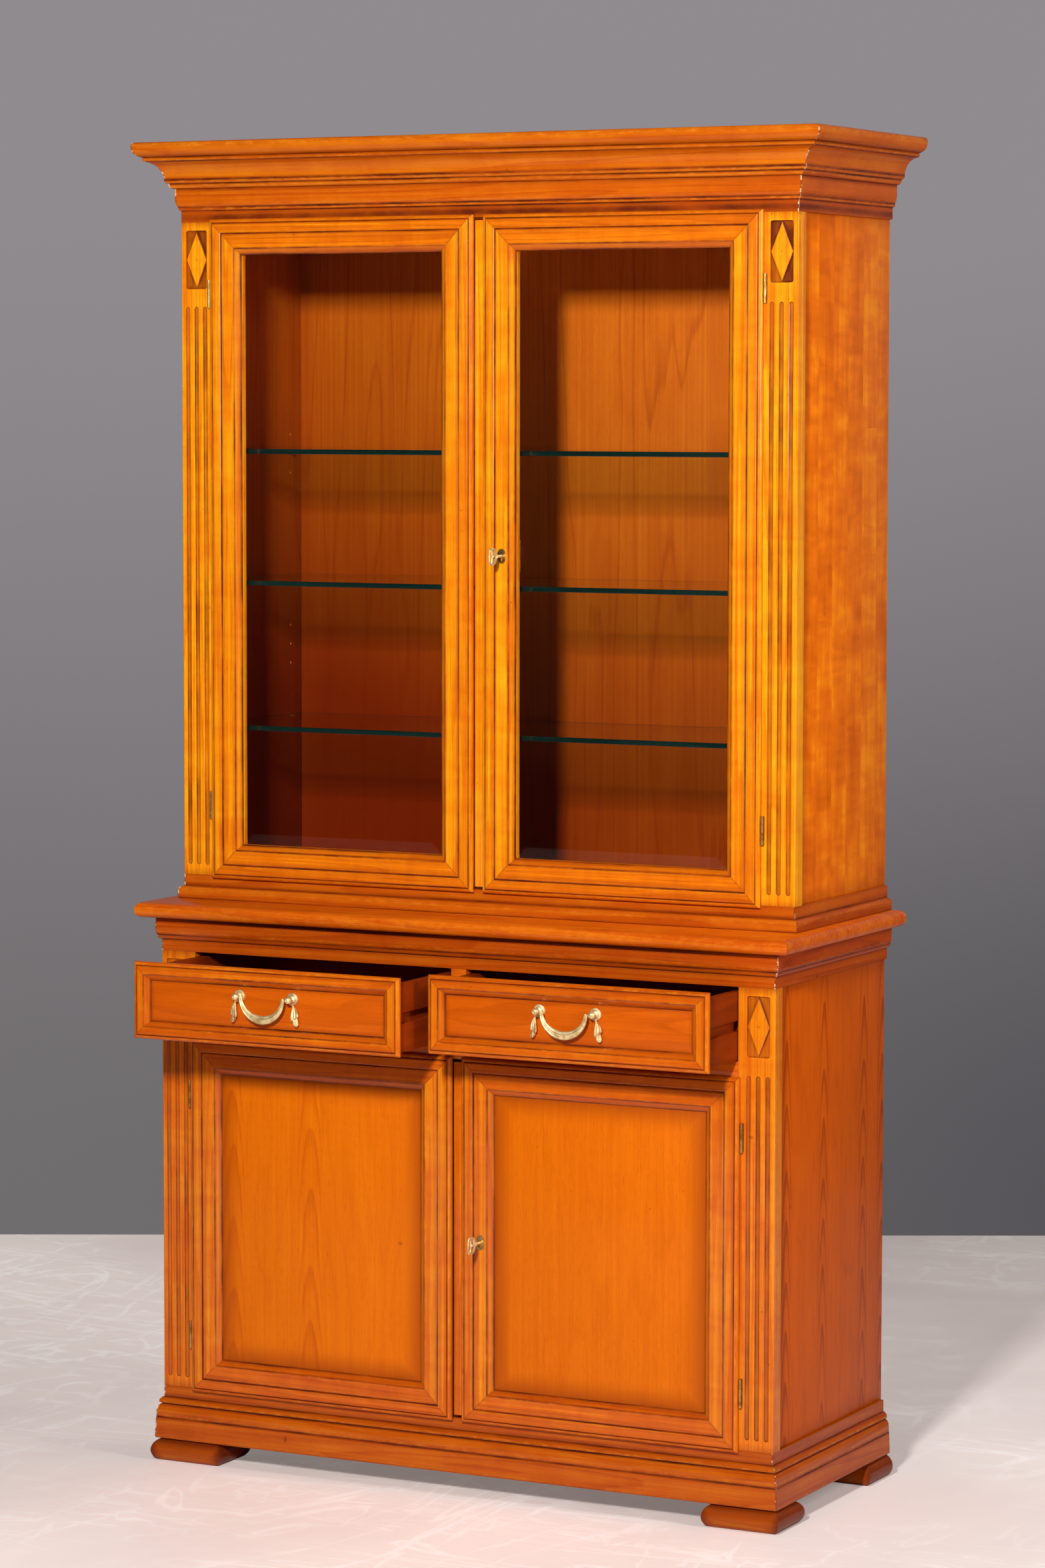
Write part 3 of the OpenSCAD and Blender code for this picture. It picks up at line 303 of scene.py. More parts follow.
# Built from the board's own grain, trim and finish attributes
def cherry(name, look):
    material, tree = freshMaterial(name)
    grain = put(tree, "ShaderNodeAttribute", attribute_name="grain").outputs["Vector"]
    finish = put(tree, "ShaderNodeAttribute", attribute_name="finish").outputs["Vector"]
    glaze, worn, tone = split(tree, finish)
    trim = put(tree, "ShaderNodeAttribute", attribute_name="trim")
    sides = put(tree, "ShaderNodeSeparateColor", {0: trim.outputs["Color"]})
    edge = calc(tree, "MINIMUM", calc(tree, "MINIMUM", sides.outputs[0], sides.outputs[1]),
                calc(tree, "MINIMUM", sides.outputs[2], trim.outputs["Alpha"]))
    if look["stave"]:  # glued-up strips, each with its own tone and figure
        parts = split(tree, grain)
        strip = calc(tree, "FLOOR", calc(tree, "DIVIDE", parts[1], look["stave"]))
        row = calc(tree, "FLOOR", scaleAdd(tree, parts[0], 0.3, times(tree, strip, 0.37)))
        chance = put(tree, "ShaderNodeTexWhiteNoise",
                     {"Vector": put(tree, "ShaderNodeCombineXYZ", {0: strip, 1: row}).outputs[0]},
                     noise_dimensions="2D").outputs[0]
        tone = plus(tree, tone, scaleAdd(tree, chance, 1.5, -0.75))
        shift = put(tree, "ShaderNodeCombineXYZ", {0: times(tree, chance, 9.0),
                                                   1: times(tree, strip, 0.31)}).outputs[0]
        grain = put(tree, "ShaderNodeVectorMath", {0: grain, 1: shift}, operation="ADD").outputs[0]
    flow = cloud(tree, grain, (look["along"], look["across"], look["across"]), 1.6, 0.42, 0.25)
    ring = calc(tree, "FRACT", times(tree, flow, look["rings"]))
    ring = times(tree, remap(tree, ring, 0.94 - look["line"], 0.94), remap(tree, ring, 0.94, 1.0, 1.0, 0.0))
    streak = cloud(tree, grain, (1.2, 210, 90), 2.0, 0.55, 0.1)
    fibre = cloud(tree, grain, (11, 950, 620), 3.0, 0.6)
    pores = remap(tree, cloud(tree, grain, (60, 2100, 1500), 1.0), 0.60, 0.74)
    mottle = cloud(tree, grain, (7, 22, 22), 2.5, 0.5, 0.5)
    shade = scaleAdd(tree, ring, -look["figure"], 0.5 + look["figure"] * 0.35)
    for pattern, share in ((fibre, look["fibre"]), (mottle, look["mottle"]), (streak, look["streak"])):
        shade = plus(tree, shade, scaleAdd(tree, pattern, share, -0.5 * share))
    if "ripple" in look:  # short bars across the grain
        bars = cloud(tree, grain, (30, 9, 9), 2.0, 0.55, 0.6)
        shade = plus(tree, shade, scaleAdd(tree, bars, look["ripple"], -0.5 * look["ripple"]))
    if "flame" in look:  # stacked pointed figures in upright columns
        pitch, spacing, wide, depth = look["flame"]
        parts = split(tree, grain)
        column = calc(tree, "DIVIDE", parts[1], pitch)
        cell = calc(tree, "FLOOR", column)
        luck = put(tree, "ShaderNodeTexWhiteNoise", {"W": cell}, noise_dimensions="1D").outputs[0]
        centre = plus(tree, cell, scaleAdd(tree, luck, 0.3, 0.35))
        off = times(tree, calc(tree, "SUBTRACT", column, centre), pitch / wide)
        wave = cloud(tree, grain, (5, 12, 3), 2.0)
        climb = scaleAdd(tree, times(tree, off, off), 1.7, times(
            tree, parts[0], 1 / spacing))
        climb = plus(tree, climb, scaleAdd(tree, luck, 5.0, times(tree, wave, 1.5)))
        saw = calc(tree, "FRACT", climb)
        flame = times(tree, remap(tree, saw, 0.35, 0.95), remap(tree, saw, 0.95, 1.0, 1.0, 0.0))
        flame = times(tree, flame, remap(tree, calc(tree, "ABSOLUTE", off), 0.6, 1.15, 1.0, 0.0))
        often = put(tree, "ShaderNodeTexWhiteNoise", {"W": plus(tree, cell, 0.5)}, noise_dimensions="1D")
        flame = times(tree, flame, remap(tree, often.outputs[0], 0.2, 0.6, look["figure"], 1.0))
        shade = scaleAdd(tree, flame, -depth, shade)
    shade = plus(tree, shade, times(tree, tone, 0.12), clamp=True)
    ramp = put(tree, "ShaderNodeValToRGB", {0: shade})
    ramp.color_ramp.elements[0].position, ramp.color_ramp.elements[0].color = 0.12, paint(*look["dark"])
    ramp.color_ramp.elements[1].position, ramp.color_ramp.elements[1].color = 0.88, paint(*look["light"])
    middle = ramp.color_ramp.elements.new(0.5)
    middle.color = paint(*look["mid"])
    colour = ramp.outputs[0]
    if "aged" in look:  # painted shade: the inside is darker towards its low left corner
        parts = split(tree, objectPlace(tree))
        insideShade = plus(tree, remap(tree, parts[2], 2.0, 0.95, 0.0, 0.82), remap(
            tree, parts[0], 0.15, -0.5, 0.0, 0.34), clamp=True)
        colour = blendColour(tree, times(tree, insideShade, look["aged"]), colour, insideShadeColour)
    speckle = put(tree, "ShaderNodeTexVoronoi", {"Vector": grain, "Scale": 62.0, "Randomness": 1.0})
    chosen = put(tree, "ShaderNodeSeparateColor", {0: speckle.outputs["Color"]}).outputs[0]
    size = remap(tree, chosen, 0.76, 1.0, 0.0, 0.065, smooth=False)
    dots = calc(tree, "LESS_THAN", speckle.outputs["Distance"], size)
    pinKnots = put(tree, "ShaderNodeTexVoronoi",
                   {"Vector": scaled(tree, grain, (26, 15, 15)), "Scale": 1.0})
    lucky = put(tree, "ShaderNodeSeparateColor", {0: pinKnots.outputs["Color"]}).outputs[1]
    knot = times(tree, remap(tree, pinKnots.outputs["Distance"], 0.02, 0.13, 0.75 * look["specks"], 0.0),
                calc(tree, "GREATER_THAN", lucky, 0.93))
    uneven = remap(tree, mottle, 0.3, 0.7, 0.65, 1.15, smooth=False)
    seam = remap(tree, edge, 0.0, 0.0022, look["mitre"], 0.0)
    # painted shade with a sprayed stain: darker near a board's edges, where it meets its frame and
    # neighbours
    sprayAndShadeMask = times(tree, remap(tree, edge, 0.0, look["reach"], look["spray"], 0.0),
                remap(tree, mottle, 0.3, 0.7, 0.88, 1.06, smooth=False))
    patchy = remap(tree, cloud(tree, grain, (20, 45, 45), 3.0, 0.6), 0.34, 0.62, 0.8, 1.04, smooth=False)
    cover = times(tree, times(tree, glaze, uneven), patchy)
    for extra in (seam, sprayAndShadeMask, knot, times(tree, dots, 0.8 * look["specks"]),
                  times(tree, pores, 0.34)):
        cover = calc(tree, "MAXIMUM", cover, extra)
    cover = times(tree, cover, look["cover"], clamp=True)
    # stain and glaze, with the painted edge shade among them
    colour = blendColour(tree, times(tree, cover, 1.5, clamp=True), colour, stainAndShadeColour)
    colour = blendColour(tree, remap(tree, cover, 0.3, 1.0), colour, glazeAndShadeColour)
    # painted highlight with real wear: lighter along the rubbed rims and arrises
    rubAndHighlight = remap(tree, cloud(tree, grain, (60, 160, 160), 3.0, 0.6), 0.42, 0.72, 0.0, 0.42)
    rubAndHighlight = times(tree, worn, rubAndHighlight, clamp=True)
    colour = blendColour(tree, rubAndHighlight, colour, wearAndHighlightColour)
    if look["chips"]:  # bare spots on the mitred corners
        chip = remap(tree, cloud(tree, grain, (120, 160, 260), 2.0), 0.52, 0.60, 0.0, look["chips"])
        chip = times(tree, chip, remap(tree, edge, 0.0007, 0.0018, 1.0, 0.0))
        colour = blendColour(tree, chip, colour, chipColour)
    rough = scaleAdd(tree, fibre, 0.16, look["gloss"] - 0.08)
    rough = plus(tree, rough, times(tree, cover, 0.12), clamp=True)
    height = scaleAdd(tree, pores, -0.7, fibre)
    height = scaleAdd(tree, dots, -1.0, height)
    bump = put(tree, "ShaderNodeBump", {"Strength": 0.22, "Distance": 0.00025, "Height": height})
    shader = put(tree, "ShaderNodeBsdfPrincipled",
                 {"Base Color": colour, "Roughness": rough, "Normal": bump,
                                                    "Specular IOR Level": 0.07, "Coat Weight": look["coat"],
                                                    "Coat Roughness": 0.1})
    put(tree, "ShaderNodeOutputMaterial", {0: shader.outputs[0]})
    return material


def castBrass(name, bright, deep, rough, metal=1.0):
    material, tree = freshMaterial(name)
    place = objectPlace(tree)
    stain = cloud(tree, place, (90, 90, 90), 4.0, 0.6)
    fine = cloud(tree, place, (900, 900, 900), 2.0, 0.6)
    colour = blendColour(tree, remap(tree, stain, 0.34, 0.62), paint(*deep), paint(*bright))
    bump = put(tree, "ShaderNodeBump", {"Strength": 0.2, "Distance": 0.0002, "Height": fine})
    shader = put(tree, "ShaderNodeBsdfPrincipled", {
        "Base Color": colour, "Metallic": metal, "Normal": bump,
        "Roughness": scaleAdd(tree, stain, -0.16, rough + 0.08)})
    put(tree, "ShaderNodeOutputMaterial", {0: shader.outputs[0]})
    return material


# Clear to the eye, and to the light that passes
def paneGlass(name, tintColour, index):
    material, tree = freshMaterial(name)
    place = objectPlace(tree)
    ripple = cloud(tree, place, (3, 3, 3), 1.0)
    smear = remap(tree, cloud(tree, place, (14, 14, 5), 4.0, 0.6), 0.5, 0.75, 0.0, 0.035)
    bump = put(tree, "ShaderNodeBump", {"Strength": 0.05, "Distance": 0.002, "Height": ripple})
    glass = put(tree, "ShaderNodeBsdfPrincipled", {
        "Base Color": paint(*tintColour), "Roughness": smear, "IOR": index, "Transmission Weight": 1.0,
        "Normal": bump})
    clear = put(tree, "ShaderNodeBsdfTransparent", {0: paint(*tintColour)})
    rays = put(tree, "ShaderNodeLightPath")
    soft = calc(tree, "MAXIMUM", rays.outputs["Is Shadow Ray"], rays.outputs["Is Diffuse Ray"])
    mixed = put(tree, "ShaderNodeMixShader", {0: soft, 1: glass.outputs[0], 2: clear.outputs[0]})
    put(tree, "ShaderNodeOutputMaterial", {0: mixed.outputs[0]})
    return material


def glassEdge(name):
    material, tree = freshMaterial(name)
    place = objectPlace(tree)
    streak = cloud(tree, place, (4, 4, 260), 3.0)
    colour = blendColour(tree, streak, paint(3, 12, 11), paint(16, 44, 38))
    shader = put(tree, "ShaderNodeBsdfPrincipled", {"Base Color": colour, "IOR": 1.5,
                                                    "Roughness": remap(tree, streak, 0.3, 0.7, 0.08, 0.2)})
    put(tree, "ShaderNodeOutputMaterial", {0: shader.outputs[0]})
    return material


finishes = {name: cherry(name, look) for name, look in cherryLooks.items()}
finishes["paleBrass"] = castBrass("paleBrass", (246, 222, 168), (200, 168, 112), 0.5, 0.78)
finishes["hingeBrass"] = castBrass("hingeBrass", (206, 170, 108), (150, 108, 54), 0.34)
finishes["doorGlass"] = paneGlass("doorGlass", (252, 254, 253), 1.3)
finishes["shelfGlass"] = paneGlass("shelfGlass", (232, 240, 234), 1.2)
finishes["shelfEdge"] = glassEdge("shelfEdge")
slotOf = {name: "cherry" for name in cherryShadedCopies}
slotOf |= {"cherryFrame": "cherry", "cherryCarcase": "cherry", "cherryDoorPanel": "cherry_veneer",
           "cherryDrawerPanel": "cherry_veneer", "cherrySideStaves": "cherry",
           "cherrySideVeneer": "cherry_veneer",
           "cherryInside": "cherry_interior", "cherryDrawerBox": "cherry_interior", "paleBrass": "brass",
           "hingeBrass": "brass", "doorGlass": "glass", "shelfGlass": "glass"}
print("materials ready:", len(finishes))


def camel(name):
    words = name.split("_")
    return words[0] + "".join(w.capitalize() for w in words[1:])


# One solid length of timber: its points, faces and grain directions
def board(corners, faces, along, across, trimAt=None, finishAt=None, start=None, tone=0.0):
    a, b = Vector(along).normalized(), Vector(across).normalized()
    offset = Vector((dice.uniform(0, 40), dice.uniform(0, 8), dice.uniform(0, 8)))
    return {"points": corners, "faces": faces, "a": a, "b": b, "c": a.cross(b), "offset": offset,
            "start": start or Vector((0, 0, 0)), "tone": tone + dice.uniform(-0.4, 0.4), "trimAt": trimAt,
            "finishAt": finishAt}


# A bar between two matching closed outlines
def ringBoard(firstRing, lastRing, **grain):
    n = len(firstRing)
    faces = [(i, (i + 1) % n, n + (i + 1) % n, n + i) for i in range(n)]
    return board(list(firstRing) + list(lastRing), faces + [tuple(range(n)), tuple(range(n, 2 * n))],
                 **grain)


# Rounds the long sharp arrises of a mesh in place
def softenEdges(mesh, width, least=0.004, angle=32):
    edges = [e for e in mesh.edges if len(e.link_faces) == 2 and e.calc_length() > least
             and e.calc_face_angle(0) > math.radians(angle)]
    if edges:
        bmesh.ops.bevel(mesh, geom=edges, offset=width, segments=2, profile=0.6, affect="EDGES",
                        clamp_overlap=True, material=-1)


def boardMesh(name, boards, material, arris=0.0, smooth=38):
    work = bmesh.new()
    layer = work.faces.layers.int.new("board")
    for number, piece in enumerate(boards):
        points = [work.verts.new(p) for p in piece["points"]]
        for f in piece["faces"]:
            work.faces.new([points[i] for i in f])[layer] = number
    bmesh.ops.recalc_face_normals(work, faces=work.faces)
    if arris:
        softenEdges(work, arris)
    return meshFromBoards(name, work, layer, boards, material, smooth)


def meshFromBoards(name, work, layer, boards, material, smooth=38):
    numbers = [f[layer] for f in work.faces]
    markEdges(work, smooth)
    mesh = meshOf(name, work)
    corners = len(mesh.loops)
    grain, trim, finish = [0.0] * (3 * corners), [1.0] * (4 * corners), [0.0] * (3 * corners)
    for polygon, number in zip(mesh.polygons, numbers):
        piece = boards[number]
        polygon.use_smooth = True
        for loop in polygon.loop_indices:
            p = mesh.vertices[mesh.loops[loop].vertex_index].co
            local = p - piece["start"]
            local = Vector((local.dot(piece["a"]), local.dot(piece["b"]), local.dot(piece["c"])))
            grain[3 * loop:3 * loop + 3] = local + piece["offset"]
            if piece["trimAt"]:
                trim[4 * loop:4 * loop + 4] = piece["trimAt"](p)
            glaze, worn = piece["finishAt"](p) if piece["finishAt"] else (0.0, 0.0)
            finish[3 * loop:3 * loop + 3] = glaze, worn, piece["tone"]
    for key, kind, channel, values in (("grain", "FLOAT_VECTOR", "vector", grain),
                                       ("trim", "FLOAT_COLOR", "color", trim),
                                       ("finish", "FLOAT_VECTOR", "vector", finish)):
        mesh.attributes.new(key, kind, "CORNER").data.foreach_set(channel, values)
    mesh.materials.append(finishes[material])
    obj = addObject(name, mesh)
    return obj


def seat(obj, nodes, body=None):
    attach(obj, body or bodyOf[nodes[0]])
    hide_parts(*nodes)
    return obj


# Glaze, and wear with painted highlights, at a point of a profile, from soft spots (u, v, radius, strength)
# in millimetres
def spotFinish(spots, worn):
    def at(u, v):
        values = []
        for group in (spots, worn):
            total = 0.0
            for su, sv, radius, strength in group:
                total = max(total, strength * math.exp(-((u - su) ** 2 + (v - sv) ** 2) / radius ** 2))
            values.append(total)
        return values
    return at


# The same closed outline with no side longer than longest
def closeSteps(points, longest=2.5):
    result = []
    for i, p in enumerate(points):
        q = points[(i + 1) % len(points)]
        n = max(1, math.ceil(math.dist(p, q) / longest))
        result += [(p[0] + (q[0] - p[0]) * k / n, p[1] + (q[1] - p[1]) * k / n) for k in range(n)]
    return result


# Fillets the sharp corners of a closed outline
def roundCorners(points, radius, turn=24):
    result = []
    n = len(points)
    for i, p in enumerate(points):
        before, here, after = Vector(points[i - 1]), Vector(p), Vector(points[(i + 1) % n])
        d0, d1 = before - here, after - here
        if d0.length < 1e-6 or d1.length < 1e-6:
            continue
        bend = math.degrees(math.pi - d0.angle(d1))
        if bend < turn:
            result.append(tuple(here))
            continue
        cut = min(radius, d0.length * 0.4, d1.length * 0.4)
        p0, p1 = here + d0.normalized() * cut, here + d1.normalized() * cut
        result += [tuple(p0), tuple(p0 * 0.25 + here * 0.5 + p1 * 0.25), tuple(p1)]
    return result


def arc(cx, cy, rx, ry, a0, a1, n=8):
    return [(cx + rx * math.cos(math.radians(a0 + (a1 - a0) * i / n)),
             cy + ry * math.sin(math.radians(a0 + (a1 - a0) * i / n))) for i in range(n + 1)]


hairline = 0.05 * mm
mouldCorner = 0.6


# Front and two side lengths of a moulding, mitred at the front corners; profile as (projection, height)
def mouldingRun(node, m):
    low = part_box(node)[0].z
    profile, face, tones = m["profile"], caseLines[m["face"]], m.get("tones", (0.2, -0.8))
    half, back, wall = caseLines["halfWidth"], caseLines["backs"], caseLines["wall"]
    outline = [(-wall / mm, profile[0][1])] + list(profile) + [(-wall / mm, profile[-1][1])]
    outline = closeSteps(roundCorners(outline, mouldCorner))
    at = spotFinish(m["spots"], m["worn"])

    def frontFinish(p):
        return at((face - p.y) / mm, (p.z - low) / mm)

    def sideFinish(p):
        return at((abs(p.x) - half) / mm, (p.z - low) / mm)

    def frontTrim(p):
        reach = half + face - p.y
        return ((reach - p.x) * mitreShare, (reach + p.x) * mitreShare, 1, 1)

    def sideTrim(p):
        reach = abs(p.x) - half
        return ((p.y - (face - reach)) * mitreShare, 1, 1, 1)

    left = [Vector((-(half + u * mm) + hairline, face - u * mm, low + v * mm)) for u, v in outline]
    right = [Vector((-p.x, p.y, p.z)) for p in left]
    boards = [ringBoard(left, right, along=(1, 0, 0), across=(0, 0, 1), trimAt=frontTrim,
                        finishAt=frontFinish,
                        tone=tones[0])]
    for side in (-1, 1):
        front = [Vector((side * (half + u * mm), face - u * mm + hairline, low + v * mm)) for u,
                 v in outline]
        rear = [Vector((side * (half + u * mm), back, low + v * mm)) for u, v in outline]
        boards.append(ringBoard(front, rear, along=(0, 1, 0), across=(0, 0, 1), trimAt=sideTrim,
                                finishAt=sideFinish, tone=tones[1]))
    obj = boardMesh(camel(node), boards, m["finish"])
    return seat(obj, [node])


# The part's own boards with softened arrises and their grain laid along each board
def dressBoards(node, material, grain=None, arris=0.7, spray=None, lining=None, tone=0.0):
    work = nodeMesh(node)
    bmesh.ops.dissolve_limit(work, angle_limit=math.radians(0.6), verts=work.verts, edges=work.edges)
    bmesh.ops.recalc_face_normals(work, faces=work.faces)
    layer = work.faces.layers.int.new("board")
    softenEdges(work, arris * mm)
    boards = []
    for group in islands(work.faces, lambda f: [g for e in f.edges for g in e.link_faces]):
        points = [v.co for f in group for v in f.verts]
        low = Vector([min(p[i] for p in points) for i in range(3)])
        high = Vector([max(p[i] for p in points) for i in range(3)])
        span = high - low
        order = sorted(range(3), key=lambda i: -span[i])
        if grain is not None:
            order = [grain] + [i for i in order if i != grain]
        axes = [Vector([1.0 if i == k else 0.0 for i in range(3)]) for k in order]
        for f in group:
            f[layer] = len(boards)
        limits = spray(low, high) if spray else None

        def trimAt(p, limits=limits):
            return [max(0.0, (p[axis] - value) * sign) for axis, value, sign in limits]

        boards.append(board([], [], axes[0], axes[1], trimAt=trimAt if limits else None,
                            start=(low + high) / 2, tone=tone))
    inner = [lining is not None and f.normal.x * f.calc_center_median().x < -0.01 for f in work.faces]
    obj = meshFromBoards(camel(node), work, layer, boards, material)
    if lining:
        obj.data.materials.append(finishes[lining])
        obj.data.polygons.foreach_set("material_index", [int(v) for v in inner])
    return seat(obj, [node])


# Case mouldings, as (projection from the posts, height) in millimetres
mouldings = {
    "plinth": {"finish": "cherryPlinth", "face": "lowerFace",
               "profile": arc(9.7, 2, 2, 2, -90, 0, 4) + [(10.4, 33.5), (9.7, 35)]
               + arc(3.2, 43, 6.5, 13, 0, 75, 8) + [(3.5, 56.5), (3.5, 58.4), (6.6, 58.6)]
               + arc(-0.3, 59, 6.9, 9, 0, 88, 8),
               "spots": [(9.9, 35, 2.6, 0.9), (4, 57.5, 3.4, 1.0), (0, 68, 5, 0.85), (11, 1, 3, 0.35)],
               "worn": [(9.4, 39, 2.4, 0.5), (6.8, 60.5, 1.6, 0.8), (11.6, 3.5, 2.4, 0.25)]},
    "lower_bottom_band": {"finish": "cherryBand", "face": "lowerFace", "profile": [(0, 0), (0, 19)],
                          "spots": [(0, 0, 5, 0.6), (0, 19, 3, 0.35)], "worn": []},
    "lower_top_band": {"finish": "cherryCove", "face": "lowerFace", "profile": [(0, 0), (0, 19)],
                       "spots": [(0, 19, 4, 0.6), (0, 0, 3, 0.3)], "worn": []},
    "cove_moulding": {"finish": "cherryCove", "face": "lowerFace",
                      "profile": arc(1.6, 7, 4.4, 7, -90, 0, 5) + [(6.24, 7.4)]
                      + arc(6.24, 22, 1.76, 14, -80, 0, 5) + [(8, 36.5)],
                      "spots": [(1, 0, 4, 0.8), (6.1, 7.2, 2.4, 0.9), (8, 36.5, 6, 0.9)],
                      "worn": [(7.6, 12, 2.4, 0.4)]},
    "upper_seat_moulding": {"finish": "cherrySeat", "face": "upperFace",
                            "profile": arc(6.2, 1.5, 1.5, 1.5, -90, 0, 3)
                            + arc(3.7, 12, 4, 7, 0, 70, 6) + [(0.4, 20.3), (0.4, 20.5)],
                            "spots": [(7.5, 0, 3, 0.7), (0.5, 20, 3.4, 0.7)],
                            "worn": [(7.4, 13, 2.4, 0.5)]},
    "upper_bottom_band": {"finish": "cherrySeat", "face": "upperFace", "profile": [(0, 0), (0, 19)],
                          "spots": [(0, 0, 4, 0.7), (0, 19, 3, 0.3)], "worn": []},
    "frieze": {"finish": "cherryFrieze", "face": "upperFace",
               "profile": [(0, 0), (0, 19)] + arc(0.5, 22.2, 3.4, 3.2, -90, 10, 5)
               + arc(1.3, 38, 6, 14, -60, 0, 6) + [(7.3, 54)],
               "spots": [(0.2, 18.8, 2.6, 1.0), (3.7, 24.4, 2.2, 1.0), (7.3, 54, 5, 0.6), (0, 0, 3, 0.3),
                         (0, 8, 9, 0.75)],
               "worn": [(3.8, 21.6, 1.8, 0.7), (5.2, 29, 2, 0.4)]},
    "cornice": {"finish": "cherryCornice", "tones": (0.6, -0.4), "face": "upperFace",
                "profile": [(7.3, 0), (9, 0.5)] + arc(9, 6.5, 6, 6, -90, 0, 6) + [(15, 8.4)]
                + arc(15.3, 13.6, 5, 5, -90, 0, 6) + arc(45, 14, 24.7, 29, 180, 96, 12)
                + arc(42.6, 46.3, 3.2, 3, -90, 60, 6) + [(47, 50), (49, 51)]
                + arc(47, 67, 12.3, 16, -75, 0, 8) + arc(54, 67, 5.3, 7, 0, 75, 6) + [(54, 74)],
                "spots": [(8, 0, 3, 0.9), (15, 8.3, 2.4, 1.0), (20.3, 14.5, 2.6, 0.9), (43, 43.4, 3, 0.8),
                          (47, 50.3, 3, 1.0), (53, 53, 4, 0.35)],
                "worn": [(14.6, 5, 2, 0.6), (19.8, 11.5, 2, 0.6), (45.6, 45.5, 2, 0.6), (59, 69, 4, 0.7)]},
}

for node, m in mouldings.items():
    mouldingRun(node, m)
print("mouldings made")

tableTop = {"thick": 24, "over": 33, "spots": [(33, 0, 4, 0.5), (22, 24, 3, 0.0)],
            "worn": [(32, 14, 9, 0.45)]}


def makeTableTop(t):
    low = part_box("table_top")[0].z
    half, face, back = caseLines["halfWidth"], caseLines["lowerFace"], caseLines["backs"]
    edge = arc(t["over"] - 8, 11, 8, 11, -90, 0, 8) + arc(t["over"] - 8, t["thick"] - 11.5, 8, 10, 0, 70, 6)
    edge += [(t["over"] - 8, t["thick"])]
    at = spotFinish(t["spots"], t["worn"])
    rings = [[Vector((x * (half + u * mm), y, low + v * mm)) for x, y in (
        (-1, back), (-1, face - u * mm), (1, face - u * mm), (1, back))] for u, v in edge]
    points = [p for ring in rings for p in ring]
    faces = [(0, 1, 2, 3), tuple(range(len(points) - 4, len(points)))]
    for i in range(len(rings) - 1):
        a, b = 4 * i, 4 * i + 4
        faces += [(a + k, a + (k + 1) % 4, b + (k + 1) % 4, b + k) for k in range(4)]

    def finishAt(p):
        u = max(face - p.y, abs(p.x) - half) / mm
        return at(u, (p.z - low) / mm)

    plank = board(points, faces, (1, 0, 0), (0, 1, 0), finishAt=finishAt)
    seat(boardMesh("tableTop", [plank], "cherryTop", 0.0, 40), ["table_top"])


makeTableTop(tableTop)

# Fluted posts, in millimetres: fluteFoot is measured up from the foot, top and gap down from the head
postCarving = {"width": 62, "fluteWide": 7, "pitch": 16.2, "radius": 3.7, "middle": 34, "ground": 0.72,
               "rim": 0.45, "fluteFoot": 16.5,
               "top": 13, "lozenge": (39, 94), "sink": 3.4, "corner": 4, "gap": 29, "grid": 0.5}


def postDepth(x, z, height, c):
    # how far the carving lies behind the face, its glaze, and its wear with painted highlights on rims and
    # arrises
    r, dx0 = c["radius"], x - c["middle"]
    out = math.sqrt(r * r - c["fluteWide"] ** 2 / 4)
    low, high = c["fluteFoot"], height - c["top"] - c["lozenge"][1] - c["gap"]
    depth, glaze, worn = 0.0, 0.0, 0.0
    for k in (-1, 0, 1):
        dx = dx0 - k * c["pitch"]
        dz = max(low + r - z, z - (high - r), 0.0)
        reach = math.hypot(dx, dz)
        if reach < r:
            depth = max(depth, math.sqrt(r * r - reach * reach) - out)
        if low - 3 < z < high + 3:
            rim = reach - c["fluteWide"] / 2
            glaze = max(glaze, 0.95 * math.exp(-((rim + 0.3) / 0.65) ** 2), 0.58 if rim < 0 else 0)
            worn = max(worn, c["rim"] * math.exp(-((rim - 1.6) / 0.8) ** 2))
    w, h = c["lozenge"]
    dz = z - (height - c["top"] - h / 2)
    inside = min(w / 2 - abs(dx0), h / 2 - abs(dz))
    if abs(dx0) > w / 2 - c["corner"] and abs(dz) > h / 2 - c["corner"]:
        inside = c["corner"] - math.hypot(abs(dx0) - w / 2 + c["corner"], abs(dz) - h / 2 + c["corner"])
    if inside > 0:
        slope = math.hypot(2 / w, 2 / h)
        rise = (1 - abs(dx0) / (w / 2) - abs(dz) / (h / 2)) / slope
        wallFade = min(1, inside / 0.7)
        if rise > 0:
            depth = max(c["sink"] - min(rise / 0.8, 1) * (c["sink"] - 0.9), 0.1)
            depth -= min(0.7, max(0, rise - 0.8) * 0.07)
            glaze = 0.95 * math.exp(-(rise / 1.5) ** 2) + 0.5 * math.exp(-(dx0 * dx0 + dz * dz) / 3.0)
            worn = 0.7 * math.exp(-((rise - 2.2) / 1.2) ** 2)
        else:
            depth = c["sink"]
            glaze = c["ground"] + 0.25 * math.exp(-min(inside, -rise) / 2.5)
            worn = 0.0
        depth *= wallFade
    elif inside > -3:
        worn = max(worn, 0.4 * math.exp(-((inside + 1.2) / 0.8) ** 2))
    brink = min(x, c["width"] - x)
    if brink < 1.0:
        depth = max(depth, 0.7 * (1 - brink) ** 2)
        worn = max(worn, 0.6)
    end = min(z, height - z)
    glaze = max(glaze, 0.5 * math.exp(-end / 2.5))
    return depth, glaze, worn


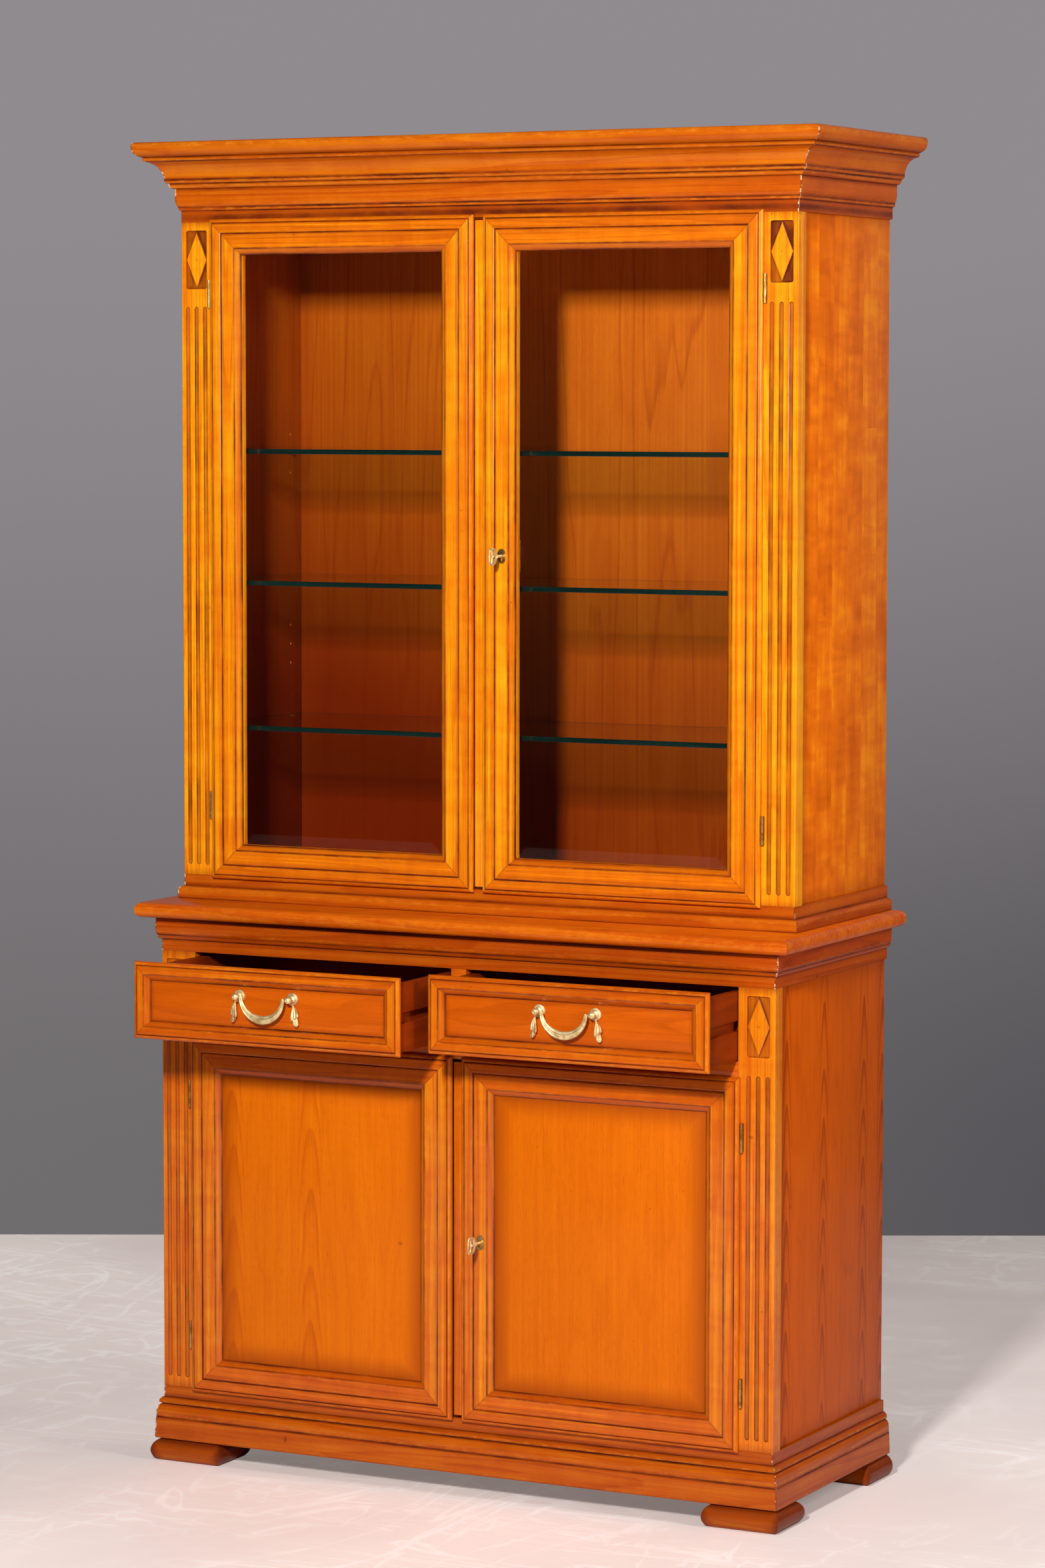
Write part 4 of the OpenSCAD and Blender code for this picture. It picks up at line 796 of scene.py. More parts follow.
def makePost(node, c, material, tone):
    low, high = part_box(node)
    height, side = (high.z - low.z) / mm, 1 if low.x > 0 else -1
    inner = low.x if side > 0 else high.x
    columns = [i * c["grid"] for i in range(int(c["width"] / c["grid"]) + 1)]
    rows, z = [], 0.0
    lozengeLow = height - c["top"] - c["lozenge"][1]
    fluteHigh = lozengeLow - c["gap"]
    while z < height:
        rows.append(z)
        near = min(abs(z - c["fluteFoot"]), abs(z - fluteHigh), abs(z - lozengeLow)) < 6
        carved = z > lozengeLow - 2 and z < height - c["top"] + 2
        z += 0.6 if near or carved else min(24, max(0.6, min(
            [d - 5 for d in (c["fluteFoot"] - z, fluteHigh - z, lozengeLow - 2 - z + 4) if d > 5] + [24])))
    rows.append(height)
    work, marks = bmesh.new(), {}
    layer = work.faces.layers.int.new("board")
    grid = []
    for z in rows:
        line = []
        for x in columns:
            depth, glaze, worn = postDepth(x, z, height, c)
            v = work.verts.new((inner + side * x * mm, low.y + depth * mm, low.z + z * mm))
            marks[(round(v.co.x, 6), round(v.co.z, 6))] = (glaze, worn)
            line.append(v)
        grid.append(line)
    behind = [[work.verts.new((line[i].co.x, high.y, line[i].co.z)) for i in (0, -1)] for line in grid]
    for j in range(len(grid) - 1):
        a, b = grid[j], grid[j + 1]
        for i in range(len(columns) - 1):
            work.faces.new((a[i], a[i + 1], b[i + 1], b[i]))
        work.faces.new((a[0], b[0], behind[j + 1][0], behind[j][0]))
        work.faces.new((a[-1], b[-1], behind[j + 1][1], behind[j][1]))
        work.faces.new((behind[j][0], behind[j][1], behind[j + 1][1], behind[j + 1][0]))
    for j in (0, -1):
        work.faces.new(grid[j] + [behind[j][1], behind[j][0]])
    bmesh.ops.recalc_face_normals(work, faces=work.faces)

    def finishAt(p):
        return marks.get((round(p.x, 6), round(p.z, 6)), (0.3, 0.0)) if p.y < high.y - 0.001 else (0.2, 0.0)

    plank = board([], [], (0, 0, 1), (1, 0, 0), finishAt=finishAt, tone=tone)
    obj = meshFromBoards(camel(node), work, layer, [plank], material, 35)
    seat(obj, [node])


for side in ("left", "right"):
    makePost(f"lower_{side}_post", dict(postCarving, ground=0.42, rim=0.3), "cherryLowFrame", 1.1)
    makePost(f"upper_{side}_post", postCarving, "cherryFrame", 1.4)
print("posts carved")

# Framed doors and drawer fronts: section as (inward from the lip, forward of the case face)
frames = {
    "door": {"width": 57.6, "back": -12, "spots": [
        (6.4, 8.7, 2.3, 1.0), (23.2, 9.6, 2.6, 1.0), (47.8, 10.3, 2.0, 0.85), (57.4, 3.4, 3.6, 0.95),
        (0.2, 1.5, 2.4, 0.6), (8.6, 12, 1.6, 0.45), (6.4, 9, 6, 0.3), (23.5, 10, 6.5, 0.34),
        (49, 10, 5, 0.3),
        (56, 4.5, 6, 0.5)],
        "worn": [(3.2, 9.6, 2.0, 0.8), (20.8, 12, 1.6, 0.55), (26.5, 10.5, 1.6, 0.35),
                 (46.4, 10.5, 1.3, 0.6)]},
    "drawer": {"width": 30, "back": -10, "spots": [
        (6.4, 8.7, 2.3, 1.0), (20.2, 11.8, 1.8, 0.85), (29.8, 3.4, 4.4, 1.0), (0.2, 1.5, 2.4, 0.6),
        (8.6, 12, 1.6, 0.45), (6.4, 9, 6, 0.3), (28, 5, 7, 0.45)],
        "worn": [(3.2, 9.6, 2.0, 0.8), (19.0, 12, 1.3, 0.7)]},
}


frameProud = 12
stileTone, railTone = 0.9, -0.8


def frameOutline(kind, fill):
    f = frames[kind]
    nose = [(6.3, f["back"]), (6.3, 0.3)] + arc(5.5, 4, 5.5, 6.5, 214, 90, 10) + [(6.6, 8.8), (8, 12)]
    if kind == "door":
        nose += [(22, 12), (23, 9.4), (25, 10.5), (47.6, 10.5)]
    else:
        nose += [(20, 12)]
    w = f["width"]
    nose += [(w, 3.2), (w, 2.35), (w - 7, 2.35), (w - 7, 2.05 - fill), (w, 2.05 - fill), (w, f["back"])]
    return closeSteps(roundCorners(nose, 0.6, 18), 1.6)


def makeFrame(node, kind, fill, material):
    low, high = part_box(node)
    face = low.y + frameProud * mm
    wide, tall = high.x - low.x, high.z - low.z
    outline = frameOutline(kind, fill)
    f = frames[kind]
    at = spotFinish(f["spots"], f["worn"])
    boards = []
    for k in range(4):
        length = wide if k % 2 == 0 else tall
        start = [Vector((low.x, 0, low.z)), Vector((high.x, 0, low.z)), Vector((high.x, 0, high.z)),
                 Vector((low.x, 0, high.z))][k]
        run = [Vector((1, 0, 0)), Vector((0, 0, 1)), Vector((-1, 0, 0)), Vector((0, 0, -1))][k]
        inward = [Vector((0, 0, 1)), Vector((-1, 0, 0)), Vector((0, 0, -1)), Vector((1, 0, 0))][k]

        def spot(along, s, t, start=start, run=run, inward=inward):
            p = start + run * along + inward * (s * mm)
            return Vector((p.x, face - t * mm, p.z))

        def trimAt(p, start=start, run=run, inward=inward, length=length):
            along, s = (p - start).dot(run), (p - start).dot(inward)
            return ((along - s) * mitreShare, (length - along - s) * mitreShare, 1, 1)

        def finishAt(p, start=start, inward=inward):
            return at((p - start).dot(inward) / mm, (face - p.y) / mm)

        first = [spot(s * mm + hairline, s, t) for s, t in outline]
        last = [spot(length - s * mm - hairline, s, t) for s, t in outline]
        boards.append(ringBoard(first, last, along=run, across=inward, trimAt=trimAt, finishAt=finishAt,
                                tone=stileTone if k % 2 else railTone))
    obj = boardMesh(camel(node), boards, material, 0.0, 30)
    return seat(obj, [node])


# Where a board's darker edges, a sprayed stain with painted shade, are measured from: axis, place and the
# way inward
def allRound(low, high):
    return [(0, low.x, 1), (0, high.x, -1), (2, low.z, 1), (2, high.z, -1)]


for level in ("upper", "lower"):
    for side in ("left", "right"):
        makeFrame(f"{level}_{side}_door_frame", "door", 4 if level == "upper" else 8,
                  "cherryFrame" if level == "upper" else "cherryLowFrame")
for side in ("left", "right"):
    makeFrame(f"{side}_drawer_front", "drawer", 8, "cherryLowFrame")
    for node, frameNode, width, material in (
            (f"lower_{side}_door_panel", f"lower_{side}_door_frame", frames["door"]["width"],
             "cherryDoorPanel"),
            (f"{side}_drawer_panel", f"{side}_drawer_front", frames["drawer"]["width"],
             "cherryDrawerPanel")):
        low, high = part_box(frameNode)
        inset = Vector((width * mm, 0, width * mm))
        dressBoards(node, material, grain=0 if "drawer" in node else 2, arris=0.3,
                    spray=lambda a, b: allRound(low + inset, high - inset))
print("doors and drawer fronts made")


def sideLimits(low, high):
    front, back, bottom, top = low.y + 0.001, high.y, low.z, high.z
    return [(1, front, 1), (2, bottom, 1), (2, top, -1), (1, back + 0.05, -1)]


for node in ("upper_left_side", "upper_right_side"):
    dressBoards(node, "cherrySideStaves", grain=2, spray=sideLimits, lining="cherryInside")
for node in ("lower_left_side", "lower_right_side"):
    dressBoards(node, "cherrySideVeneer", grain=2, spray=sideLimits, lining="cherryInside")


# painted shade on the feet: darker towards the plinth above and at their sides
def footLimits(low, high):
    return [(0, low.x, 1), (0, high.x, -1), (2, high.z, -1), (2, low.z - 0.02, 1)]


for node in ("lower_back", "upper_back"):
    dressBoards(node, "cherryInside", grain=2, spray=allRound)
for node in ("lower_floor", "lower_shelf", "upper_floor", "upper_ceiling", "drawer_runners"):
    dressBoards(node, "cherryInside")
for node in ("middle_rail", "drawer_divider"):
    dressBoards(node, "cherryRail", arris=0.6)
dressBoards("feet", "cherryFoot", arris=1.2, spray=footLimits)
dressBoards("upper_meeting_strip", "cherryFrame", grain=2, tone=0.8)
dressBoards("lower_meeting_strip", "cherryLowFrame", grain=2, tone=-0.4)
for node in ("left_drawer_box", "right_drawer_box"):
    dressBoards(node, "cherryDrawerBox")
print("panels and carcase boards dressed")


def coat(node, material):
    for slotItem in frame["nodes"][node].material_slots:
        slotItem.material = finishes[material]


# A Geometry Nodes tree from named inputs and a function that builds its middle
def geoTree(name, inputs, build):
    tree = bpy.data.node_groups.new(name, "GeometryNodeTree")
    tree.interface.new_socket("Geometry", in_out="INPUT", socket_type="NodeSocketGeometry")
    for label, value in inputs.items():
        kind = "Int" if isinstance(value, int) else "Float"
        tree.interface.new_socket(label, in_out="INPUT",
                                  socket_type="NodeSocket" + kind).default_value = value
    tree.interface.new_socket("Finish", in_out="INPUT", socket_type="NodeSocketMaterial")
    tree.interface.new_socket("Geometry", in_out="OUTPUT", socket_type="NodeSocketGeometry")
    given = tree.nodes.new("NodeGroupInput").outputs
    whole = put(tree, "GeometryNodeRealizeInstances", {0: build(tree, given)})
    put(tree, "NodeGroupOutput", {0: put(tree, "GeometryNodeSetMaterial", {0: whole, 2: given["Finish"]})})
    return tree


# Runs a tree on loose points and keeps the plain mesh
def grow(name, tree, points, values, finish):
    mesh = bpy.data.meshes.new(name)
    mesh.from_pydata([tuple(p) for p in points], [], [])
    obj = addObject(name, mesh)
    modifier = obj.modifiers.new("grow", "NODES")
    modifier.node_group = tree
    values = dict(values, Finish=finishes[finish])
    for item in tree.interface.items_tree:
        if item.item_type == "SOCKET" and item.in_out == "INPUT" and item.name in values:
            modifier[item.identifier] = values[item.name]
    grown = bpy.data.meshes.new_from_object(obj.evaluated_get(bpy.context.evaluated_depsgraph_get()))
    obj.modifiers.clear()
    bpy.data.objects.remove(obj)
    return grown


# Adds parts to one mesh: each a mesh and the matrix that places it
def gather(name, parts, finish, smooth=35):
    work = bmesh.new()
    for mesh, place in parts:
        before = len(work.verts)
        work.from_mesh(mesh)
        work.verts.ensure_lookup_table()
        bmesh.ops.transform(work, matrix=place, verts=work.verts[before:])
    bmesh.ops.remove_doubles(work, verts=work.verts, dist=0.000002)
    bmesh.ops.recalc_face_normals(work, faces=work.faces)
    markEdges(work, smooth)
    mesh = meshOf(name, work)
    mesh.polygons.foreach_set("use_smooth", [True] * len(mesh.polygons))
    mesh.polygons.foreach_set("material_index", [0] * len(mesh.polygons))
    mesh.materials.clear()
    mesh.materials.append(finishes[finish])
    obj = addObject(name, mesh)
    return obj


# A solid turned from (radius, height) points about Z
def turned(profile, steps=40):
    work = bmesh.new()
    rings = [[work.verts.new((r * mm * math.cos(2 * math.pi * k / steps),
                              r * mm * math.sin(2 * math.pi * k / steps),
                              z * mm)) for k in range(steps)] for r, z in profile]
    for a, b in zip(rings, rings[1:]):
        for k in range(steps):
            work.faces.new((a[k], a[(k + 1) % steps], b[(k + 1) % steps], b[k]))
    work.faces.new(rings[0])
    work.faces.new(rings[-1])
    bmesh.ops.recalc_face_normals(work, faces=work.faces)
    mesh = meshOf("turned", work)
    return mesh


# Folded cloth swept along half a circle, thick in the middle
def buildSwag(tree, given):
    line = put(tree, "GeometryNodeCurvePrimitiveLine", {"Start": (0, 0, 0), "End": (0.1, 0, 0)})
    line = put(tree, "GeometryNodeResampleCurve", {"Curve": line, "Count": given["Steps"]})
    along = put(tree, "GeometryNodeSplineParameter").outputs["Factor"]
    angle = times(tree, along, math.pi)
    bulge = calc(tree, "POWER", calc(tree, "SINE", angle), 1.5)
    thick = scaleAdd(tree, bulge, calc(tree, "SUBTRACT", given["Middle"], given["Ends"]), given["Ends"])
    reach = scaleAdd(tree, thick, -0.5, given["Radius"])
    spot = put(tree, "ShaderNodeCombineXYZ", {0: times(tree, reach, calc(tree, "COSINE", angle)), 2: times(
        tree, reach, times(tree, calc(tree, "SINE", angle), -1.0))})
    path = put(tree, "GeometryNodeSetPosition", {"Geometry": line, "Position": spot})
    path = put(tree, "GeometryNodeSetCurveTilt",
               {"Curve": path, "Tilt": times(tree, along, given["Twist"])})
    return foldedSweep(tree, given, path, thick)


# Cloth that hangs from a knot and opens towards its hem
def buildDrop(tree, given):
    line = put(tree, "GeometryNodeCurvePrimitiveLine", {"Start": (0, 0, 0), "End": put(
        tree, "ShaderNodeCombineXYZ", {2: times(tree, given["Length"], -1.0)})})
    line = put(tree, "GeometryNodeResampleCurve", {"Curve": line, "Count": given["Steps"]})
    along = put(tree, "GeometryNodeSplineParameter").outputs["Factor"]
    opening = remap(tree, along, 0.06, 0.8)
    thick = scaleAdd(tree, opening, calc(tree, "SUBTRACT", given["Middle"], given["Ends"]), given["Ends"])
    neck = calc(tree, "SUBTRACT", 1.0, times(tree, remap(tree, along, 0.0, 0.16), times(
        tree, remap(tree, along, 0.16, 0.34, 1.0, 0.0), 0.4)))
    hem = remap(tree, along, 0.9, 1.0, 1.0, 0.55)
    thick = times(tree, thick, times(tree, neck, hem))
    path = put(tree, "GeometryNodeSetCurveTilt",
               {"Curve": line, "Tilt": times(tree, along, given["Twist"])})
    return foldedSweep(tree, given, path, thick)


def foldedSweep(tree, given, path, thick):
    path = put(tree, "GeometryNodeSetCurveRadius", {"Curve": path, "Radius": thick})
    ring = put(tree, "GeometryNodeCurvePrimitiveCircle", {"Resolution": given["Sides"], "Radius": 0.5})
    turn = times(tree, put(tree, "GeometryNodeSplineParameter").outputs["Factor"], 2 * math.pi)
    fold = calc(tree, "SINE", times(tree, turn, given["Folds"]))
    uneven = calc(tree, "SINE", scaleAdd(tree, turn, 2.0, 0.7))
    out = scaleAdd(tree, fold, given["Depth"], scaleAdd(tree, uneven, 0.03, 1.0))
    place = put(tree, "GeometryNodeInputPosition")
    place = put(tree, "ShaderNodeVectorMath", {0: place, "Scale": out}, operation="SCALE")
    squeeze = put(tree, "ShaderNodeCombineXYZ", {0: given["Flat"], 1: 1.0, 2: 1.0})
    place = put(tree, "ShaderNodeVectorMath", {0: place, 1: squeeze}, operation="MULTIPLY")
    ring = put(tree, "GeometryNodeSetPosition", {"Geometry": ring, "Position": place})
    return put(tree, "GeometryNodeCurveToMesh", {"Curve": path, "Profile Curve": ring, "Fill Caps": True,
                                                 "Scale": put(tree, "GeometryNodeInputRadius")})


# One round wire bent to an oval
def buildLoop(tree, given):
    ring = put(tree, "GeometryNodeCurvePrimitiveCircle", {"Resolution": given["Steps"], "Radius": 1.0})
    size = put(tree, "ShaderNodeCombineXYZ", {0: given["Wide"], 1: given["Tall"], 2: 1.0})
    path = put(tree, "GeometryNodeTransform", {"Geometry": ring, "Scale": size})
    wire = put(tree, "GeometryNodeCurvePrimitiveCircle",
               {"Resolution": given["Sides"], "Radius": given["Wire"]})
    return put(tree, "GeometryNodeCurveToMesh", {"Curve": path, "Profile Curve": wire})


# The same turned pin at every point, lying along X
def buildPins(tree, given):
    body = put(tree, "GeometryNodeMeshCylinder", {"Vertices": given["Sides"], "Radius": given["Radius"],
                                                  "Depth": given["Length"]}).outputs[0]
    collar = put(tree, "GeometryNodeMeshCylinder", {"Vertices": given["Sides"], "Radius": times(
        tree, given["Radius"], 1.28), "Depth": 0.0008}).outputs[0]
    both = put(tree, "GeometryNodeJoinGeometry", {0: body})
    tree.links.new(collar, both.inputs[0])
    return put(tree, "GeometryNodeInstanceOnPoints", {"Points": given["Geometry"], "Instance": both,
                                                      "Rotation": (0, math.pi / 2, 0)})


folds = {"Steps": 48, "Sides": 56, "Folds": 7.0, "Depth": 0.13, "Flat": 0.74, "Twist": 0.8}
swagTree = geoTree("clothSwag", dict(folds, Radius=0.0395, Middle=0.0104, Ends=0.0048), buildSwag)
dropTree = geoTree("clothDrop", dict(folds, Length=0.03, Middle=0.0104, Ends=0.004), buildDrop)
loopTree = geoTree("keyLoop", {"Steps": 48, "Sides": 14, "Wide": 0.004, "Tall": 0.009, "Wire": 0.0012},
                   buildLoop)
pinTree = geoTree("shelfPins", {"Sides": 24, "Radius": 0.0025, "Length": 0.012}, buildPins)

pull = {"pitch": 96, "ballOut": 14.7, "ball": 5.8, "radius": 40.5, "middle": 12.6, "ends": 5.0,
        "pivot": 1.5,
        "rosette": [(10, 0), (10, 1.3), (9.4, 2.3), (8.2, 2.7), (7.2, 2.4), (6.6, 2.9), (6.4, 3.8),
                    (5.4, 4.8),
                    (4.0, 5.3), (3.0, 6.0), (3.0, 9.9)],
        "drop": {"Length": 0.026, "Middle": 0.0130, "Ends": 0.0046, "Folds": 5.0, "Depth": 0.16,
                 "Twist": 0.6},
        "hem": {"Length": 0.0355, "Middle": 0.0086, "Ends": 0.0036, "Folds": 3.0, "Depth": 0.16,
                "Twist": 1.4},
        "cut": {"drop": 0.5, "hem": -0.35},
        "lean": 8, "dropFrom": (4, -7, -6.2)}


def pullParts(p):
    parts = []
    front = spin(90, "X")
    ball = [(0.01, -p["ball"])] + [(p["ball"] * math.cos(math.radians(a)),
                                    p["ball"] * math.sin(math.radians(a)))
                                   for a in range(-80, 76, 10)] + [(1.2, 5.3), (0.9, 5.0), (0.01, 4.9)]
    for side in (-1, 1):
        at = Matrix.Translation((side * p["pitch"] / 2 * mm, 0, 0))
        parts.append((turned(p["rosette"]), at @ front))
        parts.append((turned(ball, 32), at @ Matrix.Translation((0, -p["ballOut"] * mm, 0)) @ front))
        x, y, z = p["dropFrom"]
        hang = at @ Matrix.Translation((side * x * mm, y * mm, z * mm)) @ spin(
            -side * p["lean"], "Y") @ Matrix.Diagonal((side, 1, 1, 1))
        for kind in ("drop", "hem"):
            cloth = grow("cloth", dropTree, [(0, 0, 0)], p[kind], "paleBrass")
            slant = Matrix(((1, 0, 0, 0), (0, 1, 0, 0), (p["cut"][kind], 0, 1, 0), (0, 0, 0, 1)))
            parts.append((cloth, hang @ slant))
        parts.append((turned([(1.5, 0), (1.5, 6)], 20), at @ Matrix.Translation(
            (side * 2.5 * mm, (y - 0.2) * mm, -8 * mm)) @ spin(-90, "X")))
    return parts


def bailParts(p):
    values = {"Radius": p["radius"] * mm, "Middle": p["middle"] * mm, "Ends": p["ends"] * mm}
    swag = grow("swag", swagTree, [(0, 0, 0)], values, "paleBrass")
    parts = [(swag, Matrix.Identity(4))]
    inner = p["radius"] - p["ends"] / 2
    for side in (-1, 1):
        knob = [(0.01, -2.4), (1.6, -2.1), (2.3, -1.1), (2.3, 0.6), (1.7, 1.6), (0.01, 1.9)]
        parts.append((turned(knob, 24), Matrix.Translation((side * inner * mm, 0, 0))))
        pin = [(p["pivot"], 0), (p["pivot"], p["pitch"] / 2 - inner + 3 - 0.5)]
        parts.append((turned(pin, 20), Matrix.Translation((side * inner * mm, 0, 0)) @ spin(
            side * 90, "Y")))
    return parts


for side in ("left", "right"):
    low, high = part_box(f"{side}_drawer_pull")
    middle = Matrix.Translation(((low.x + high.x) / 2, high.y, high.z - 10 * mm))
    seat(gather(f"{side}DrawerPull", [(m, middle @ t) for m, t in pullParts(pull)], "paleBrass"),
         [f"{side}_drawer_pull"])
    middle = middle @ Matrix.Translation((0, -pull["ballOut"] * mm, 0))
    seat(gather(f"{side}DrawerBail", [(m, middle @ t) for m, t in bailParts(pull)], "paleBrass"),
         [f"{side}_drawer_bail"])

keyShape = {"wide": 4.4, "wire": 1.25}


# The part's own shank and bit, with a rounder bow and a turned collar
def makeKey(node, k):
    low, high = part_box(node)
    middle, tall = (low.x + high.x) / 2, (high.z - low.z) / 2
    level = (low.z + high.z) / 2
    copy = nodeMesh(node)
    bowLong = 2 * k["wide"] * mm + 2 * k["wire"] * mm
    cut = low.y + bowLong - 0.6 * mm
    whole = copy.verts[:] + copy.edges[:] + copy.faces[:]
    bmesh.ops.bisect_plane(copy, geom=whole, plane_co=(0, cut, 0), plane_no=(0, -1, 0), clear_outer=True)
    bmesh.ops.holes_fill(copy, edges=[e for e in copy.edges if e.is_boundary])
    shank = meshOf("shank", copy)
    parts = [(shank, Matrix.Identity(4))]
    centre = Matrix.Translation((middle, low.y + (k["wide"] + k["wire"]) * mm, level))
    lie = spin(90, "Z") @ spin(90, "X")
    loop = grow("bow", loopTree, [(0, 0, 0)], {"Wide": k["wide"] * mm, "Tall": tall - k["wire"] * mm,
                                               "Wire": k["wire"] * mm}, "paleBrass")
    parts.append((loop, centre @ lie))
    collar = [(1.6, 0), (2.4, 0.3), (2.4, 0.9), (1.9, 1.2), (2.4, 1.6), (2.4, 2.2), (1.6, 2.6)]
    parts.append((turned(collar, 28), Matrix.Translation((middle, cut - 0.2 * mm, level)) @ spin(
        -90, "X")))
    seat(gather(camel(node), parts, "paleBrass"), [node])


for node in ("upper_key", "lower_key"):
    makeKey(node, keyShape)


# The boxes of the separate solids in one node
def looseBoxes(node):
    work = nodeMesh(node)
    boxes = []
    for group in islands(work.verts, lambda v: [e.other_vert(v) for e in v.link_edges]):
        boxes.append(([min(v.co[i] for v in group) for i in range(3)],
                      [max(v.co[i] for v in group) for i in range(3)]))
    work.free()
    return boxes


pinBoxes = looseBoxes("shelf_pins")
low, high = pinBoxes[0]
pins = grow("pins", pinTree, [[(a + b) / 2 for a, b in zip(*box)] for box in pinBoxes],
            {"Radius": (high[2] - low[2]) / 2, "Length": high[0] - low[0]}, "hingeBrass")
seat(gather("shelfPins", [(pins, Matrix.Identity(4))], "hingeBrass"), ["shelf_pins"])
for node in ("upper_lock", "lower_lock", "case_hinge_leaves", "upper_left_door_hinge_leaves",
             "upper_right_door_hinge_leaves", "lower_left_door_hinge_leaves",
             "lower_right_door_hinge_leaves"):
    dressBoards(node, "hingeBrass", arris=0.18)
for node in ("upper_lock_bolt", "lower_lock_bolt"):
    coat(node, "hingeBrass")
print("brass made")

# Panes with a ground bevel round their border
pane = {"border": 18, "drop": 1.7, "edge": frames["door"]["width"]}


def makePane(node, frameNode, p):
    low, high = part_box(node)
    outer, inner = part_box(frameNode)
    seen = [outer.x + p["edge"] * mm, inner.x - p["edge"] * mm, outer.z + p["edge"] * mm,
            inner.z - p["edge"] * mm]
    b = p["border"] * mm
    rings = [(low.x, high.x, low.z, high.z, high.y), (low.x, high.x, low.z, high.z, low.y + p["drop"] * mm),
             (*seen, low.y + p["drop"] * mm), (seen[0] + b, seen[1] - b, seen[2] + b, seen[3] - b, low.y)]
    work = bmesh.new()
    loops = [[work.verts.new((x, y, z)) for x, z in ((x0, z0), (x1, z0), (x1, z1), (x0, z1))]
             for x0, x1, z0, z1, y in rings]
    for a, c in zip(loops, loops[1:]):
        for k in range(4):
            work.faces.new((a[k], a[(k + 1) % 4], c[(k + 1) % 4], c[k]))
    work.faces.new(loops[0])
    work.faces.new(loops[-1])
    bmesh.ops.recalc_face_normals(work, faces=work.faces)
    mesh = meshOf(camel(node), work)
    mesh.materials.append(finishes["doorGlass"])
    obj = addObject(camel(node), mesh)
    seat(obj, [node])


for side in ("left", "right"):
    makePane(f"upper_{side}_door_glass", f"upper_{side}_door_frame", pane)


def makeShelves(node):
    # clear faces and dark green cut edges
    src = nodeMesh(node)
    bmesh.ops.dissolve_limit(src, angle_limit=0.01, verts=src.verts, edges=src.edges)
    bmesh.ops.recalc_face_normals(src, faces=src.faces)
    softenEdges(src, 0.5 * mm)
    for f in src.faces:
        f.material_index = 0 if abs(f.normal.z) > 0.9 else 1
    mesh = meshOf(camel(node), src)
    mesh.materials.append(finishes["shelfGlass"])
    mesh.materials.append(finishes["shelfEdge"])
    obj = addObject(camel(node), mesh)
    seat(obj, [node])


makeShelves("glass_shelves")
print("glass made")

# Stage: pale scuffed floor and grey wall, both with painted light for the camera, soft lights
room = {"floor": (242, 229, 222), "scratch": (252, 244, 240), "lift": 0.30, "wallHigh": (144, 139, 143),
        "wallLow": (82, 80, 84), "wallLeft": (112, 109, 111), "behind": 2.2, "floorDark": (228, 214, 209),
        "side": 5.4, "front": -3.6, "rear": 9, "wallHalf": 6, "wallTall": 5, "sky": (205, 204, 208),
        "skyLevel": 0.11, "skyMirrored": -0.08}


def stagePlane(name, corners, material):
    mesh = bpy.data.meshes.new(name)
    mesh.from_pydata(corners, [], [(0, 1, 2, 3)])
    mesh.materials.append(material)
    obj = addObject(name, mesh)
    return obj


def floorMaterial():
    material, tree = freshMaterial("wornFloor")
    place = objectPlace(tree)
    cloudy = cloud(tree, place, (1.3, 1.3, 1.3), 4.0, 0.55, 0.4)
    lines = cloud(tree, place, (0.9, 5.5, 1.0), 3.0, 0.5, 3.0)
    cracks = cloud(tree, place, (3.2, 1.1, 1.0), 3.0, 0.5, 2.4)
    scratch = 0.0
    for run in (lines, cracks):
        line = remap(tree, calc(tree, "ABSOLUTE", calc(tree, "SUBTRACT", run, 0.5)), 0.0, 0.022, 1.0, 0.0)
        scratch = calc(tree, "MAXIMUM", scratch, times(tree, line, remap(tree, cloudy, 0.4, 0.62)))
    colour = blendColour(tree, remap(tree, cloudy, 0.3, 0.7), paint(*room["floorDark"]),
                         paint(*room["floor"]))
    colour = blendColour(tree, times(tree, scratch, 0.85), colour, paint(*room["scratch"]))
    shader = put(tree, "ShaderNodeBsdfPrincipled", {"Base Color": colour, "Roughness": 0.5})
    # the floor behind the cabinet stays pale to the eye: painted light, a glow seen only by the camera,
    # stronger towards the back and at the front left
    parts = split(tree, place)
    back = remap(tree, parts[1], -1.6, 1.2)
    corner = times(tree, remap(tree, parts[0], 0.3, -0.7, 0.0, 0.9),
                  remap(tree, parts[1], -0.3, -1.1))
    back = plus(tree, scaleAdd(tree, back, 0.9, 0.28), corner)
    rays = put(tree, "ShaderNodeLightPath")
    strength = times(tree, rays.outputs["Is Camera Ray"], times(tree, back, room["lift"]))
    lift = put(tree, "ShaderNodeEmission", {0: colour, 1: strength})
    both = put(tree, "ShaderNodeAddShader", {0: shader.outputs[0], 1: lift.outputs[0]})
    put(tree, "ShaderNodeOutputMaterial", {0: both.outputs[0]})
    return material


